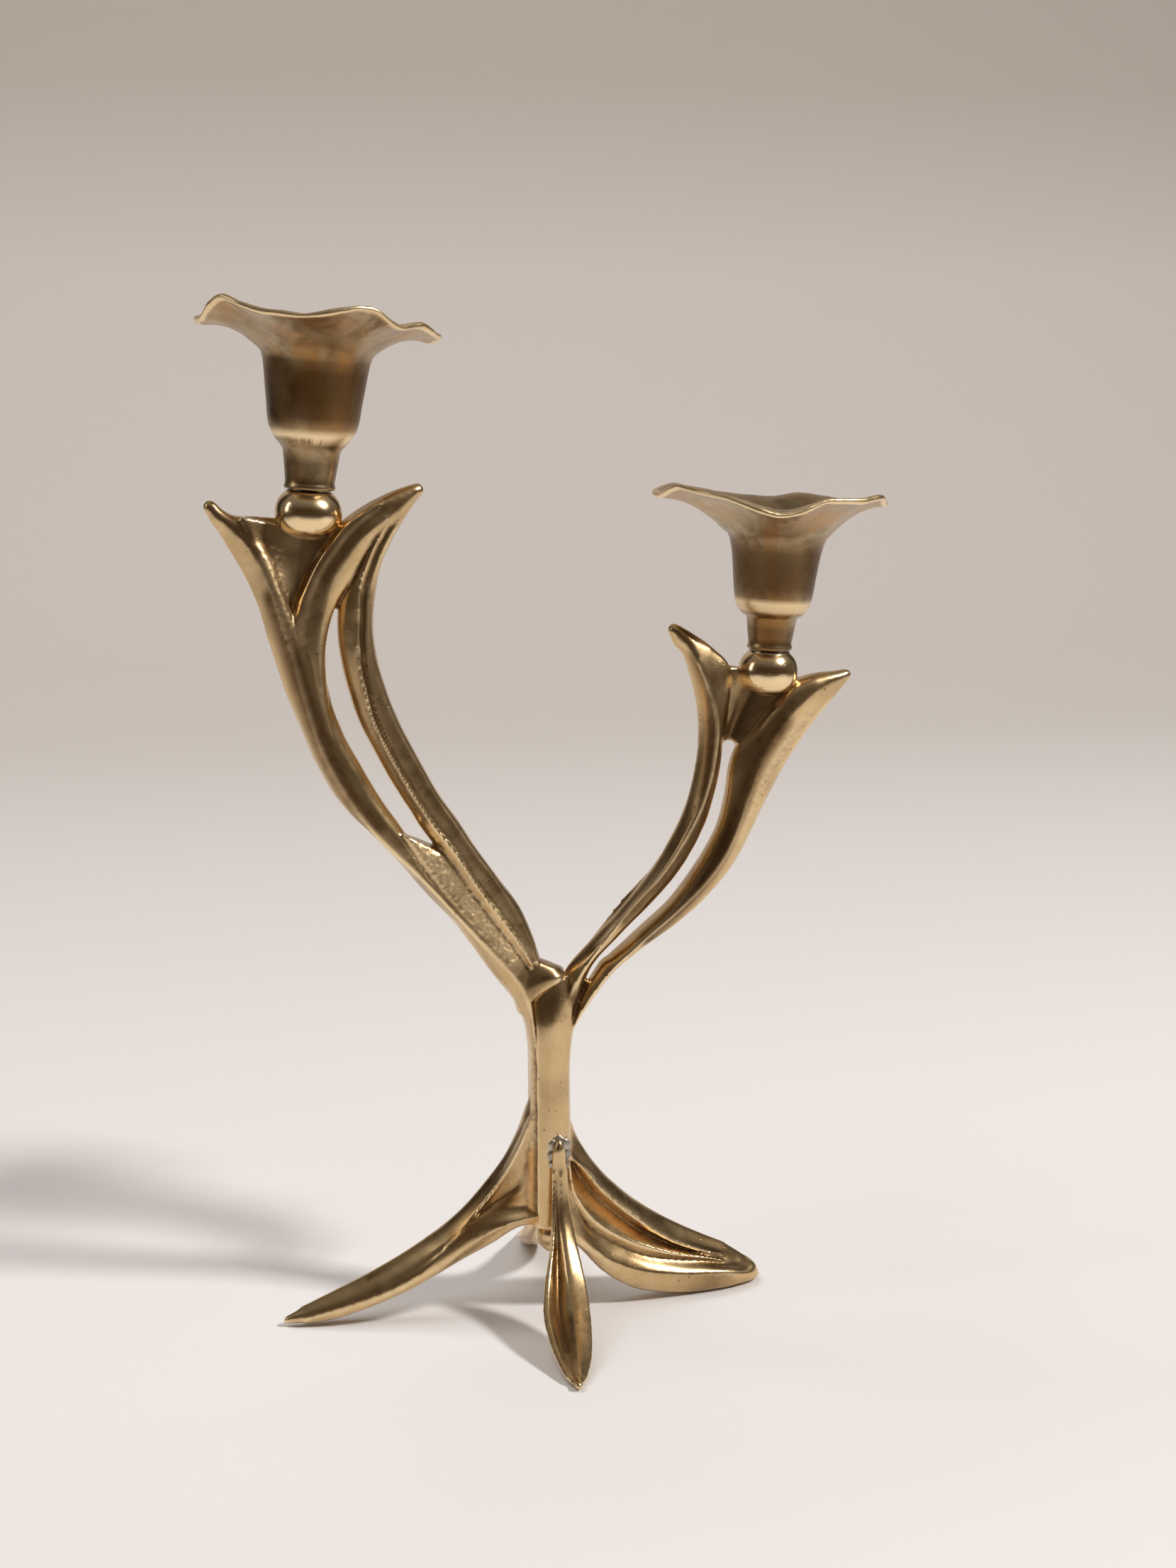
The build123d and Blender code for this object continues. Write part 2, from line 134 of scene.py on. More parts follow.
TALL_INNER_STEM = [
    (-2.6, [(-8, 115), (-20, 131), (-30, 146.5), (-37.2, 157.2), (-42.9, 165), (-46.2, 170.6),
         (-51.6, 179.4), (-57, 189.8), (-61.3, 198.7), (-64, 207.2), (-66, 216), (-67.2, 225), (-67, 233.8),
         (-65.4, 240), (-61.4, 247.4), (-56.6, 254.6), (-50.6, 261.6), (-41.8, 270.4)]),
    (-6.2, [(-8, 119), (-13.3, 128.2), (-24.6, 144.2), (-32, 156), (-39.3, 166), (-46.5, 177.6),
         (-52.3, 188.2), (-57.5, 199.6), (-60, 209), (-61.7, 218), (-62, 228), (-61.4, 240.6),
         (-59.3, 247.6), (-55.6, 255.5), (-50, 262.5), (-41, 271.6)]),
    (-4.7, [(-7, 119), (-12, 127.2), (-23.4, 143.2), (-30.8, 155), (-38.1, 165), (-45.2, 176.8),
         (-51, 187.6), (-56.2, 199), (-58.6, 208.6), (-60.3, 218), (-60.6, 228), (-59.9, 240),
         (-57.8, 247.2), (-54, 255.5), (-49, 262.3), (-40.6, 271.4)]),
    (-5.3, [(-6.4, 119), (-10.8, 126.8), (-22.2, 142.6), (-29.6, 154.2), (-36.8, 164.4), (-44, 176.2),
         (-49.6, 187), (-54.8, 198.6), (-57.2, 208.4), (-59, 218), (-59.3, 228), (-58.6, 239.4),
         (-56.4, 246.8), (-53, 254.8), (-48.4, 261.8), (-40.4, 271.2)]),
    (-4.3, [(-5.4, 119.4), (-8.4, 128), (-18.6, 146), (-25.4, 155.8), (-32.2, 166.2), (-37.8, 174.8),
         (-43, 184.2), (-48, 193.6), (-51.6, 201.8), (-54.6, 210.6), (-56.8, 219.4), (-57.6, 228),
         (-57, 236.8), (-55.2, 245.6), (-52.6, 252.4), (-48.4, 259.6), (-40.2, 271)]),
    (0, [(-4.6, 120), (-7.3, 128.3), (-11.2, 137.3), (-17.5, 146.2), (-24.3, 155.8), (-31, 166.4),
         (-36.6, 174.6), (-41.6, 183.9), (-46.4, 193.1), (-50.1, 201.1), (-53.3, 210.1), (-55.6, 219.1),
         (-56.5, 227.9), (-55.9, 236.7), (-54.3, 245.5), (-51.7, 252), (-47.7, 259.1), (-42.1, 267.1),
         (-39.8, 271.4)]),
]
TALL_WEB = [
    (-5.7, [(-9, 108), (-16, 119.5), (-28, 133.2), (-38, 145.6), (-49, 163.4)]),
    (-5.2, [(-8, 113), (-15, 123.5), (-26, 137), (-34, 148.4), (-43.4, 160.4)]),
    (-2.9, [(-7, 115), (-12.6, 127), (-22.4, 141.4), (-29.6, 152), (-36.6, 156.6)]),
    (4.2, [(-6, 116), (-11.5, 128.5), (-21, 143), (-28, 152.6), (-36, 156.6)]),
    (4.6, [(-9, 110), (-16, 121.5), (-28, 134.5), (-38, 146), (-49, 162.4)]),
]
TALL_CALYX = [
    (-4.6, [(-83.4, 219), (-86, 230), (-88.6, 241), (-91.6, 251), (-95, 258.6), (-97, 263.4)]),
    (-2.4, [(-81.6, 220), (-83.2, 230), (-84.6, 241), (-86.6, 250.4), (-89, 257.6), (-90, 261.6)]),
    (-0.8, [(-80.4, 221), (-80.8, 230), (-80.2, 240), (-79.2, 248), (-78.2, 254), (-77.6, 258.6)]),
    (-2.6, [(-78.6, 219), (-78.8, 229), (-76.4, 239), (-72.4, 247), (-67.4, 255), (-64, 260.4)]),
    (5.2, [(-77, 219), (-75, 228), (-72, 238), (-68, 247), (-63, 255), (-60, 260.4)]),
    (6.6, [(-79.5, 219), (-79.5, 228), (-78.6, 238), (-77, 247), (-76, 255), (-75.6, 259)]),
    (4.8, [(-82.5, 219), (-85.4, 229), (-88, 240), (-91, 250), (-95, 258.4), (-97, 263)]),
]
SHORT_LEFT_STEM = [
    (0, [(1, 96), (2, 108), (3.9, 115.6), (13.6, 126.1), (22.9, 136), (32.2, 147.5), (40.3, 161.2),
         (44.5, 172.7), (46.9, 186.5), (46.6, 199.2), (43.9, 210.7), (40.6, 218.8), (37.3, 225),
         (37.4, 227.2)]),
    (-3.6, [(2, 96), (3, 108), (6, 116.4), (15.4, 126.6), (25, 137), (34.4, 149), (42, 162.5), (46.2, 174),
         (48.4, 187), (48.2, 199.5), (45.4, 211), (42, 218.6), (38, 226)]),
    (-6.3, [(2.6, 96), (4, 107), (9.4, 117.4), (16, 127), (24.4, 137.6), (32.8, 146), (41, 157.6),
         (47.8, 171), (50.9, 184), (51.6, 196), (49.4, 206), (45.4, 216), (38.8, 226.2)]),
    (-5.2, [(3, 96), (6, 106), (10.6, 116.6), (19, 126.4), (28.4, 136.4), (37.2, 147), (45, 160), (50, 172),
         (52.6, 184), (53.6, 196), (52, 207), (48, 216), (39.2, 226.8)]),
    (-2.4, [(3.4, 96), (8, 105.6), (12.4, 117.1), (22.9, 128.4), (32.3, 137.4), (41.6, 148.3),
         (48.6, 160.9), (52, 171.3), (54, 180.5), (54.9, 189.7), (56, 198), (57, 206), (56.6, 213),
         (51.5, 218.5), (45.7, 223.4), (39.4, 227.4)]),
]
SHORT_RIGHT_STEM = [
    (-2.4, [(3.6, 92), (8, 105), (15, 116.6), (18.3, 119.2), (27.6, 127), (38.2, 136.7), (47.5, 149.2),
         (53.7, 160.7), (56.4, 171.1), (57.4, 179), (59.6, 186), (64, 191.6), (69.5, 198), (77.6, 206.6),
         (86, 209.8), (97, 210.8)]),
    (-5.2, [(3.6, 92), (8.5, 104), (16, 115.4), (20, 119.2), (29, 127.4), (38.8, 136), (48.4, 147.6),
         (54.8, 157.6), (58.4, 168), (61, 178), (64.6, 187.4), (69.7, 195.6), (77.5, 204.4), (86, 208.4),
         (96.8, 210.4)]),
    (-6.2, [(3.6, 92), (9, 103), (17, 114.4), (22.3, 119.8), (31, 127.4), (39.8, 134.6), (47.6, 142),
         (54, 150), (58.6, 159), (63, 172), (67.2, 183), (73.8, 193.8), (81.7, 202.2), (90, 207.4),
         (96.6, 210)]),
    (-4.4, [(3.6, 92), (9.4, 102), (18, 113.8), (24.6, 119.6), (33.6, 127), (42.4, 133.8), (50.6, 141.6),
         (57, 150.6), (61.8, 160.8), (67.4, 173.6), (73.8, 186), (80.6, 195), (90.6, 204.8), (97, 209.6)]),
    (-3.4, [(3.6, 92), (9.4, 102), (18.4, 114), (26.6, 120.8), (38, 128.6), (48, 136.8), (57, 147.4),
         (64.6, 161.8), (72, 176.4), (79.2, 187.6), (86.4, 196.8), (93.6, 204), (97.4, 209.2)]),
    (0, [(3.6, 92), (8.9, 103.1), (13.6, 110), (18.3, 115.4), (27.6, 121.8), (41.7, 130.1), (52.3, 139.6),
         (60.5, 149.8), (67.4, 163.7), (74.4, 177.5), (81.3, 188.9), (88.2, 197.9), (95.3, 204.7),
         (97.8, 208.8)]),
]
SHORT_CALYX = [
    (-2.2, [(53.6, 188), (54.8, 193), (56.2, 199), (56.4, 206), (55.6, 213)]),
    (-0.4, [(57.2, 189.5), (59, 194), (61.6, 199), (64.6, 205), (66.6, 211)]),
    (-2.2, [(60, 187), (63, 190), (68.6, 196), (75.4, 203), (80, 208)]),
    (5.4, [(60, 187), (63.4, 190), (69.6, 196), (76.6, 203), (82, 208)]),
    (6.6, [(57.6, 189), (60.4, 193), (64, 199), (68, 206), (70, 211)]),
    (5, [(52.5, 188), (54, 193), (54.6, 199), (54.6, 206), (53.6, 213)]),
]
LEFT_LEG = [
    (0, [(-5, 0, 82), (-8, 0, 73.6), (-11.6, 0, 63), (-17, 0, 53.2), (-25.3, 0, 42.6), (-34.7, 0, 33.2),
         (-46.5, 0, 25.1), (-58.1, 0.4, 18.4), (-69.8, 0.6, 12.7), (-80.3, 0.8, 7.9), (-88, 0.8, 4.6)]),
    (0, [(-4, -3, 77), (-8.8, -2.6, 68), (-12.6, -2.6, 59.4), (-18.2, -2.6, 50), (-26, -2.6, 40.8),
         (-34, -2.6, 32.8), (-45, -2.6, 24.8), (-58.2, -2, 17.2), (-72, -1.4, 10.8), (-87.6, 0, 4)]),
    (0, [(-4, -6, 76), (-9.6, -6, 66), (-13.4, -6, 57.4), (-18.4, -6.2, 48.4), (-24.2, -6.3, 40),
         (-31.2, -6.2, 32.2), (-38.4, -6, 26.8), (-46, -5.4, 21.6), (-58, -4.4, 15), (-72, -3.2, 9),
         (-87.4, -1, 3.4)]),
    (0, [(-4, -4.4, 60), (-9, -4, 52), (-13, -3.6, 45), (-19, -3.6, 40.6), (-26, -4.2, 36.2),
         (-33, -5.2, 29.8), (-39.8, -6.2, 24.6), (-47, -6.4, 19.2), (-58, -5.4, 13.4), (-72, -3.8, 8),
         (-87.2, -1.2, 3)]),
    (0, [(-4, -5, 38), (-11, -5, 37.6), (-19.5, -5.6, 37), (-26.6, -6.4, 34.8), (-33.4, -7.2, 29.6),
         (-40, -7.6, 23.6), (-47, -7.2, 18), (-58, -6, 12), (-72, -4.2, 7), (-87, -1.4, 2.6)]),
    (0, [(-4, -7, 34.4), (-11, -7.2, 34), (-20, -8, 31.6), (-29, -8.6, 27), (-38, -8.4, 21),
         (-48, -7.4, 15), (-58, -6.2, 10.2), (-70, -4.6, 6.2), (-82, -2.6, 3.2), (-87.2, -1.4, 2)]),
    (0, [(-4, -4.4, 31), (-9, -4.6, 31), (-14.1, -5, 30.2), (-22, -5.4, 25.8), (-34.2, -5.4, 19.6),
         (-48.5, -4.6, 11.6), (-64, -3.4, 5.4), (-76, -2, 2), (-87.6, -0.6, 1)]),
    (0, [(-4, 3.6, 31), (-9, 3.8, 31), (-14.1, 4, 30.2), (-22, 4.6, 25.8), (-34.2, 4.6, 19.6),
         (-48.5, 4.2, 11.6), (-64, 3.4, 5.4), (-76, 2.8, 2), (-87.6, 1.8, 1)]),
    (0, [(-4, 6, 44), (-11, 6.4, 42), (-20, 7, 37.4), (-29, 7.2, 30.6), (-38, 7, 24.4), (-47, 6.4, 19),
         (-58, 5.4, 13.4), (-70, 4.2, 8.6), (-82, 2.8, 4.4), (-87.8, 1.9, 2.8)]),
    (0, [(-4, 3.8, 76), (-9.4, 3.8, 66.6), (-12.9, 3.8, 58.4), (-17.9, 3.8, 49.2), (-24, 3.8, 41.4),
         (-31.4, 3.8, 33.6), (-45, 3.6, 24), (-57, 3.2, 17.2), (-72, 2.4, 10.6), (-88, 1.4, 4)]),
]
RIGHT_LEG = [
    (1.2, [(4, 2, 72), (7, 3.4, 59), (10.8, 4.6, 51), (18.9, 6.4, 40), (31.6, 8.6, 28.8),
         (45.8, 10.8, 19.8), (60, 12.6, 12.6), (68, 13.4, 8), (72.4, 13.4, 4.6)]),
    (0, [(3, 1, 74), (6.5, 3, 61.3), (10.6, 3.7, 52.6), (18.9, 5, 41.8), (31.6, 7.1, 30.4),
         (45.8, 9.3, 21.2), (60.3, 11.7, 13.6), (68.6, 12.8, 8.6), (72.6, 13, 5)]),
    (1.1, [(3, -3, 66), (5.4, -2.2, 54.2), (11.9, -1.1, 46.9), (20.2, 0.2, 38.4), (30.8, 1.9, 29.3),
         (41.8, 3.6, 20.8), (52, 6, 15), (63, 9.4, 10.2), (72.4, 12.4, 4.2)]),
    (-1.5, [(2.6, -4, 66), (4.3, -3.3, 54.4), (8.9, -2.6, 49.2), (14.2, -1.7, 41.8), (21.8, -0.5, 33.9),
         (30.4, 0.8, 26.6), (41, 2.5, 18.9), (52, 5, 13.8), (64, 8.8, 8.8), (72.2, 12, 3.8)]),
    (1.6, [(3.4, -4, 62), (6.2, -2, 49.4), (11.7, -1.1, 39.7), (19.3, 0.1, 31.8), (27.7, 1.4, 24.4),
         (37.5, 3, 18.6), (48, 5, 13.8), (63, 8.6, 7.8), (72.2, 11.8, 3.4)]),
    (-1.7, [(3, -4.4, 60), (4.3, -4.3, 49), (5.3, -4.2, 42.6), (9.9, -3.4, 34.3), (16.1, -2.4, 28),
         (24.4, -1.1, 22.7), (33.5, 0.4, 18.4), (44.2, 2.1, 14.5), (55, 4.8, 11.4), (66, 9, 6.4),
         (73.6, 12.4, 2)]),
    (0.6, [(3, -5, 52), (4.9, -5.2, 40.3), (8.3, -4.7, 31.6), (13.8, -3.8, 26.1), (21.4, -2.6, 20.9),
         (29, -1.4, 16.6), (40, 0.6, 13.2), (52, 3.4, 10.6), (66, 7.8, 6), (73.6, 11.6, 1.9)]),
    (-2, [(3, -5.4, 30), (6.7, -5.7, 26.6), (12.2, -5, 21.8), (19.1, -3.9, 16.8), (29.6, -2.3, 12),
         (43.7, 0, 9.2), (58, 2.3, 7.6), (68, 5, 5.6), (73.6, 9.6, 2)]),
    (-1.6, [(3, -5.2, 27), (8.4, -5.2, 22.6), (12.2, -5, 19.4), (19.2, -3.9, 12.8), (29.6, -2.3, 7),
         (43.8, 0, 4.4), (58.1, 2.3, 3.2), (67.6, 5, 3.1), (73.2, 9, 1.5)]),
    (0, [(3, -2, 26), (8.5, -3.2, 20.4), (14.7, -2.4, 13.2), (21.7, -1.5, 7.6), (30.1, -0.2, 3.6),
         (44.3, 2.1, 0.4), (58.6, 4.4, 0.2), (69.5, 7.4, 0.3), (73.2, 10.4, 0.8)]),
    (1.8, [(3, 3, 30), (8.5, 2.6, 25), (15, 3.4, 18), (22, 4.4, 13), (30.4, 5.6, 9), (44.4, 8, 5.2),
         (58.6, 10.6, 3.2), (69, 12.4, 1.6), (73.4, 13.2, 1)]),
]
FOOT_LEAF = [
    (0, [(-2.6, -8.3, 58), (-2.8, -9.6, 47), (-3.3, -12, 38), (-4.3, -16.4, 29.4), (-7.2, -23.6, 20.6),
         (-9.4, -31, 14.6), (-10.2, -38.5, 10.4), (-9.4, -49, 5.6), (-7.6, -59, 2.4), (-5.4, -65.4, 1.4)]),
    (0, [(-2.1, -9.5, 58), (-2.3, -10.7, 47), (-2.7, -13, 38), (-3.5, -17.4, 29.6), (-5.8, -24.4, 20.8),
         (-7.6, -31.4, 15.4), (-8.3, -38.8, 11.4), (-7.8, -49, 6.6), (-6.6, -59, 3.2), (-5.1, -65.4, 2)]),
    (0, [(-1.2, -9.6, 58), (-1.3, -10.6, 47), (-1.5, -12.4, 38), (-2, -16.4, 28.2), (-3, -23.2, 18.6),
         (-4.1, -30.4, 12.8), (-4.6, -38.2, 8.6), (-4.9, -49, 4.9), (-4.9, -59, 2.6), (-4.7, -65.6, 2)]),
    (0, [(0, -10.2, 58), (0, -11.4, 47), (-0.1, -13.4, 37.8), (0, -18, 29.2), (-0.2, -25.2, 20.4),
         (-0.4, -32.6, 15), (-0.9, -40, 10.8), (-2, -50, 6.6), (-3.2, -59, 3.8), (-4.2, -65.6, 2.4)]),
    (0, [(1.2, -9.7, 58), (1.4, -10.9, 47), (1.7, -13, 37.8), (2.4, -17.6, 29), (3, -25, 20.4),
         (3, -32.8, 14.6), (2.2, -40.6, 10.4), (0.4, -50.6, 6), (-1.8, -59.4, 3.3), (-3.6, -65.6, 2.1)]),
    (0, [(2.5, -8.3, 58), (2.8, -9.6, 47), (3.2, -12, 38), (4.3, -16.2, 29), (5.5, -24.6, 19.6),
         (5.4, -34, 12.8), (4.4, -42.6, 8.4), (2.4, -52, 4.4), (-0.6, -60.4, 2), (-3, -65.6, 1.2)]),
    (0, [(1.6, -7.4, 57), (1.8, -8.2, 46), (2.2, -9.8, 36), (2.8, -13.6, 25.6), (3, -22, 16),
         (2.2, -32, 9.4), (0.8, -42, 4.8), (-1, -52, 1.2), (-2.6, -60.4, 0.2), (-3.8, -65.4, 0.3)]),
    (0, [(-1.6, -7.4, 57), (-1.8, -8.2, 46), (-2.4, -9.8, 36), (-3.4, -13.6, 25.6), (-5.2, -22, 16),
         (-6.4, -32, 9.4), (-6.8, -42, 4.8), (-6.4, -52, 1.2), (-5.6, -60, 0.2), (-4.8, -65.2, 0.3)]),
]

# Rounded ends of the tips: u, v, z, radius and, where it isn't a ball, how tall it is for its width.
TALL_TIPS = [(-105.6, 0, 266, 2.8), (-103, 0, 262.4, 3.2), (-42.2, 0, 270.2, 2.7), (-46, 0, 267, 3.3),
             (-88.2, 0.6, 2.3, 2.1)]
SHORT_TIPS = [(38.9, 0, 224.9, 2.8), (41.2, 0, 221.2, 3.2), (96, 0, 209, 2.5), (92.4, 0, 206.8, 2.9),
              (68.0, 9.5, 4.7, 4.0, 0.85)]
FRONT_TIPS = [(-4.3, -65.2, 1.9, 1.9), (0, -8.6, 56.4, 2.3, 2.2)]
REAR_TIPS = [(4.6, 68.2, 1.9, 1.6), (0, 8.6, 56.4, 2.2, 2.2)]
SOLDER_BLOBS = [(0.2, 6.6, 60.0, 1.9), (-1.9, 7.0, 58.6, 2.0), (-2.2, 7.2, 55.4, 1.8), (2.0, 7.0, 58.8, 2.0),
                (2.4, 7.2, 55.6, 1.8), (2.3, 7.6, 52.6, 1.5), (-2.1, 7.6, 52.4, 1.4)]

# Hand-worked places by casting: a line down the middle and how far they spread. Rough ones are beaten and
# stippled.
# Amber ones carry a painted warm reflection, the glow neighbouring brass throws into the leaf hollows. Brown
# ones hold a dark tarnish, and on the stems' front faces also a painted dark reflection of the room.
ROUGH_PLACES = {
    "left_branch": [
        ([(-14, -5, 122), (-25, -5, 136), (-36, -5, 150), (-43, -5, 158)], 6.5),
        ([(-8.4, -6, 34), (-8.2, -6, 60), (-7.8, -6, 90), (-8.4, -6, 100)], 3.0),
        ([(-82, -3, 226), (-84.5, -3, 240), (-87.5, -3, 250)], 5.4),
    ],
    "right_branch": [
        ([(60, -4, 158), (67, -4, 174), (74, -4, 187), (82, -4, 197)], 3.2),
        ([(10, -3, 46), (18, -1, 36), (27, 1, 28)], 3.4),
    ],
}
# Painted warm reflection: the orange glow that neighbouring brass throws into the legs' and front foot's
# hollows.
PAINTED_WARM_REFLECTION_PLACES = {
    "left_branch": [
        ([(-14, -4, 41), (-24, -5, 36.6), (-33, -6, 29.6)], 4.5),
        ([(-8.6, -6, 30), (-8.4, -6, 44), (-8.2, -6, 56)], 3.4),
    ],
    "right_branch": [([(7, -2, 46), (13, -1, 36), (21, 0, 29), (30, 1, 22.6)], 3.2)],
    "front_foot": [([(-2, -17, 27), (-3.2, -25, 17), (-4.4, -36, 9.6)], 3.0)],
}
# Dark tarnish and the dark seam down the trunk. On the stems' front faces these places also carry a painted
# dark reflection of the room.
BROWN_TARNISH_AND_PAINTED_DARK_PLACES = {
    "left_branch": [
        ([(-58, -6, 166), (-67, -6, 179), (-74, -6, 195), (-79, -6, 210), (-84, -6, 226), (-88, -6, 238)],
         6.0),
        ([(-42, -6, 168), (-52, -6, 187), (-58, -6, 204), (-60.4, -6, 222), (-59, -5, 238)], 3.4),
        ([(-7, -6, 36), (-6.4, -6, 60), (-6.2, -6, 88), (-8, -6, 104)], 1.9),
        ([(-8, -4, 110), (-3, -4, 114.6), (3, -3, 116)], 4.4),
        ([(-22, -2, 46), (-34, -3, 34), (-48, -3, 24.6), (-62, -2, 16)], 2.2),
        ([(-79.6, -1, 232), (-75.4, -1, 242), (-72, -1, 252)], 3.6),
    ],
    "right_branch": [
        ([(22, -5, 133), (36, -6, 148), (46, -6, 166), (50, -6, 186), (49, -6, 204), (44, -6, 216)], 4.6),
        ([(30, -5, 126), (42, -6, 137), (52, -6, 150), (59, -6, 166), (65, -6, 181), (74, -6, 195)], 4.6),
        ([(58, -1, 192), (61, -1, 200), (66, -1, 208)], 6.0),
        ([(4, -5, 112), (6, -5, 106)], 3.0),
    ],
    "front_foot": [([(-2.6, -22, 20), (-4.6, -34, 11), (-4.8, -48, 5.4)], 2.0)],
}


def curve_between(a, b, c, d, t):
    """Points at the shares t of the way from b to c, on the smooth curve through all four."""
    return 0.5 * (2 * b + (c - a) * t + (2 * a - 5 * b + 4 * c - d) * t**2 + (3 * b - a - 3 * c + d) * t**3)


STATIONS = 110  # sections along a body
ROOT_RUN = 0.22  # share of a line over which a thin root grows to its full depth


def line_points(points, depth, count=STATIONS, tip=0.45, fade=0.2, root=1.0):
    """Evenly spaced points along a smooth line through the given ones, in millimetres.
    The line's depth thins out to the share tip over its last stretch, and starts at the share root."""
    if len(points[0]) == 2:
        given = np.array([(u, 0, z) for u, z in points], float)
    else:
        given = np.array(points, float)
    ends = np.vstack([2 * given[0] - given[1], given, 2 * given[-1] - given[-2]])
    t = np.linspace(0, 1, 14, endpoint=False)[:, None]
    spans = []
    for i in range(len(given) - 1):
        a, b, c, d = ends[i : i + 4]
        spans.append(curve_between(a, b, c, d, t))
    dense = np.vstack(spans + [given[-1:]])
    run = np.concatenate([[0], np.cumsum(np.linalg.norm(np.diff(dense, axis=0), axis=1))])
    even = np.linspace(0, run[-1], count)
    out = np.stack([np.interp(even, run, dense[:, k]) for k in range(3)], axis=1)
    along = np.linspace(0, 1, count)
    share = np.clip((1 - along) / fade, 0, 1)
    start = np.clip(along / ROOT_RUN, 0, 1)
    out[:, 1] += depth * (tip + (1 - tip) * share * (2 - share)) * (root + (1 - root) * start)
    return out


SOFTNESS = 0.7  # 1 for a smooth section through the rails, 0 for straight sides
BACK_DEPTH = 0.92  # the back's relief as a share of the front's


def rounded_rings(rails, steps=3):
    """Soft sections through the rails: a closed smooth curve round each station."""
    before, after, beyond = np.roll(rails, 1, 0), np.roll(rails, -1, 0), np.roll(rails, -2, 0)
    rows = []
    for t in (i / steps for i in range(steps)):
        smooth = curve_between(before, rails, after, beyond, t)
        straight = rails + (after - rails) * t
        rows.append(SOFTNESS * smooth + (1 - SOFTNESS) * straight)
    return np.stack(rows, 1).reshape(-1, *rails.shape[1:])


def ring_lines(lines, both_sides):
    """The lines round one body. With both_sides, the back repeats the front's relief."""
    front = list(lines)
    if not both_sides:
        return front
    back = [(-depth * BACK_DEPTH, points) for depth, points in reversed(front) if abs(depth) > 0.1]
    return front + back


def add_ring_body(bm, lines, **shaping):
    """A closed body between lines that run side by side from root to tip."""
    rails = rounded_rings(np.array([line_points(points, depth, **shaping) for depth, points in lines]))
    around, count = rails.shape[:2]
    verts = [[bm.verts.new(Vector(rails[k, i]) * MM + TRUNK) for k in range(around)] for i in range(count)]
    for lower, upper in zip(verts, verts[1:]):
        for k in range(around):
            j = (k + 1) % around
            bm.faces.new((lower[k], lower[j], upper[j], upper[k]))
    bm.faces.new(verts[0][::-1])
    bm.faces.new(verts[-1])


def add_ball(bm, u, v, z, size, tall=1.0):
    """A small rounded end."""
    grow = Matrix.Translation(Vector((u, v, z)) * MM + TRUNK) @ Matrix.Diagonal((1, 1, tall, 1))
    bmesh.ops.create_icosphere(bm, subdivisions=3, radius=size * MM, matrix=grow)


def new_object(name, bm):
    """A named object from a bmesh, with outward faces."""
    bmesh.ops.recalc_face_normals(bm, faces=bm.faces)
    mesh = bpy.data.meshes.new(name)
    bm.to_mesh(mesh)
    bm.free()
    obj = bpy.data.objects.new(name, mesh)
    bpy.context.scene.collection.objects.link(obj)
    return obj


def bake_modifiers(obj):
    """Turns an object's modifiers into its mesh."""
    graph = bpy.context.evaluated_depsgraph_get()
    graph.update()
    made = bpy.data.meshes.new_from_object(obj.evaluated_get(graph))
    old = obj.data
    obj.modifiers.clear()
    obj.data = made
    bpy.data.meshes.remove(old)
    made.name = obj.name


def fuse(obj, grain, rounds):
    """Melts overlapping bodies into one skin, as in a casting, and eases its creases."""
    melt = obj.modifiers.new("melt", "REMESH")
    melt.mode = "VOXEL"
    melt.voxel_size = grain
    ease = obj.modifiers.new("ease", "SMOOTH")
    ease.factor = 0.5
    ease.iterations = rounds
    bake_modifiers(obj)


def positions(mesh):
    out = np.empty(len(mesh.vertices) * 3, np.float32)
    mesh.vertices.foreach_get("co", out)
    return out.reshape(-1, 3).astype(float)


def set_positions(mesh, at):
    mesh.vertices.foreach_set("co", at.astype(np.float32).ravel())
    mesh.update()


def smooth_faces(mesh):
    mesh.polygons.foreach_set("use_smooth", [True] * len(mesh.polygons))


def normals(mesh):
    out = np.empty(len(mesh.vertices) * 3, np.float32)
    mesh.vertex_normals.foreach_get("vector", out)
    return out.reshape(-1, 3).astype(float)


EASE = 0.6  # how far a point moves towards its neighbours in one round


def eased(mesh, share, rounds):
    """Where each point comes to rest when it is drawn by a share towards its neighbours, round by round."""
    edges = np.empty(len(mesh.edges) * 2, np.int32)
    mesh.edges.foreach_get("vertices", edges)
    a, b = edges.reshape(-1, 2).T
    soft = positions(mesh)
    count = len(soft)
    degree = np.maximum(np.bincount(a, minlength=count) + np.bincount(b, minlength=count), 1)
    for _ in range(rounds):
        sums = [np.bincount(a, soft[b, k], count) + np.bincount(b, soft[a, k], count) for k in range(3)]
        soft = soft + share * (np.stack(sums, axis=1) / degree[:, None] - soft)
    return soft


def relief(mesh, rounds):
    """How far each point stands out from (+) or lies below (-) its surroundings, in millimetres."""
    return ((positions(mesh) - eased(mesh, EASE, rounds)) * normals(mesh)).sum(axis=1) / MM


SOFT_REACH = 3.0  # how far from a tip the creases melt, in radii of the tip
SOFT_FADE = 1.6  # over how many radii that dies away


def soften_ends(mesh, ends):
    """Melts the creases round each tip into one smooth, rounded end."""
    at = positions(mesh)
    share = np.zeros(len(at))
    for end in ends:
        middle = np.array(Vector(end[:3]) * MM + TRUNK)
        gap = np.linalg.norm(at - middle, axis=1) / (end[3] * MM)
        share = np.maximum(share, np.clip((SOFT_REACH - gap) / SOFT_FADE, 0, 1))
    set_positions(mesh, eased(mesh, EASE * share[:, None], 45))


def lumps(points, size, seed):
    """Even, repeatable unevenness from -1 to 1 at each point."""
    shift = Vector((seed * 3.17, seed * 1.31, seed * 7.73))
    return np.array([noise.fractal(Vector(p) / size + shift, 0.9, 2.1, 2) for p in points])


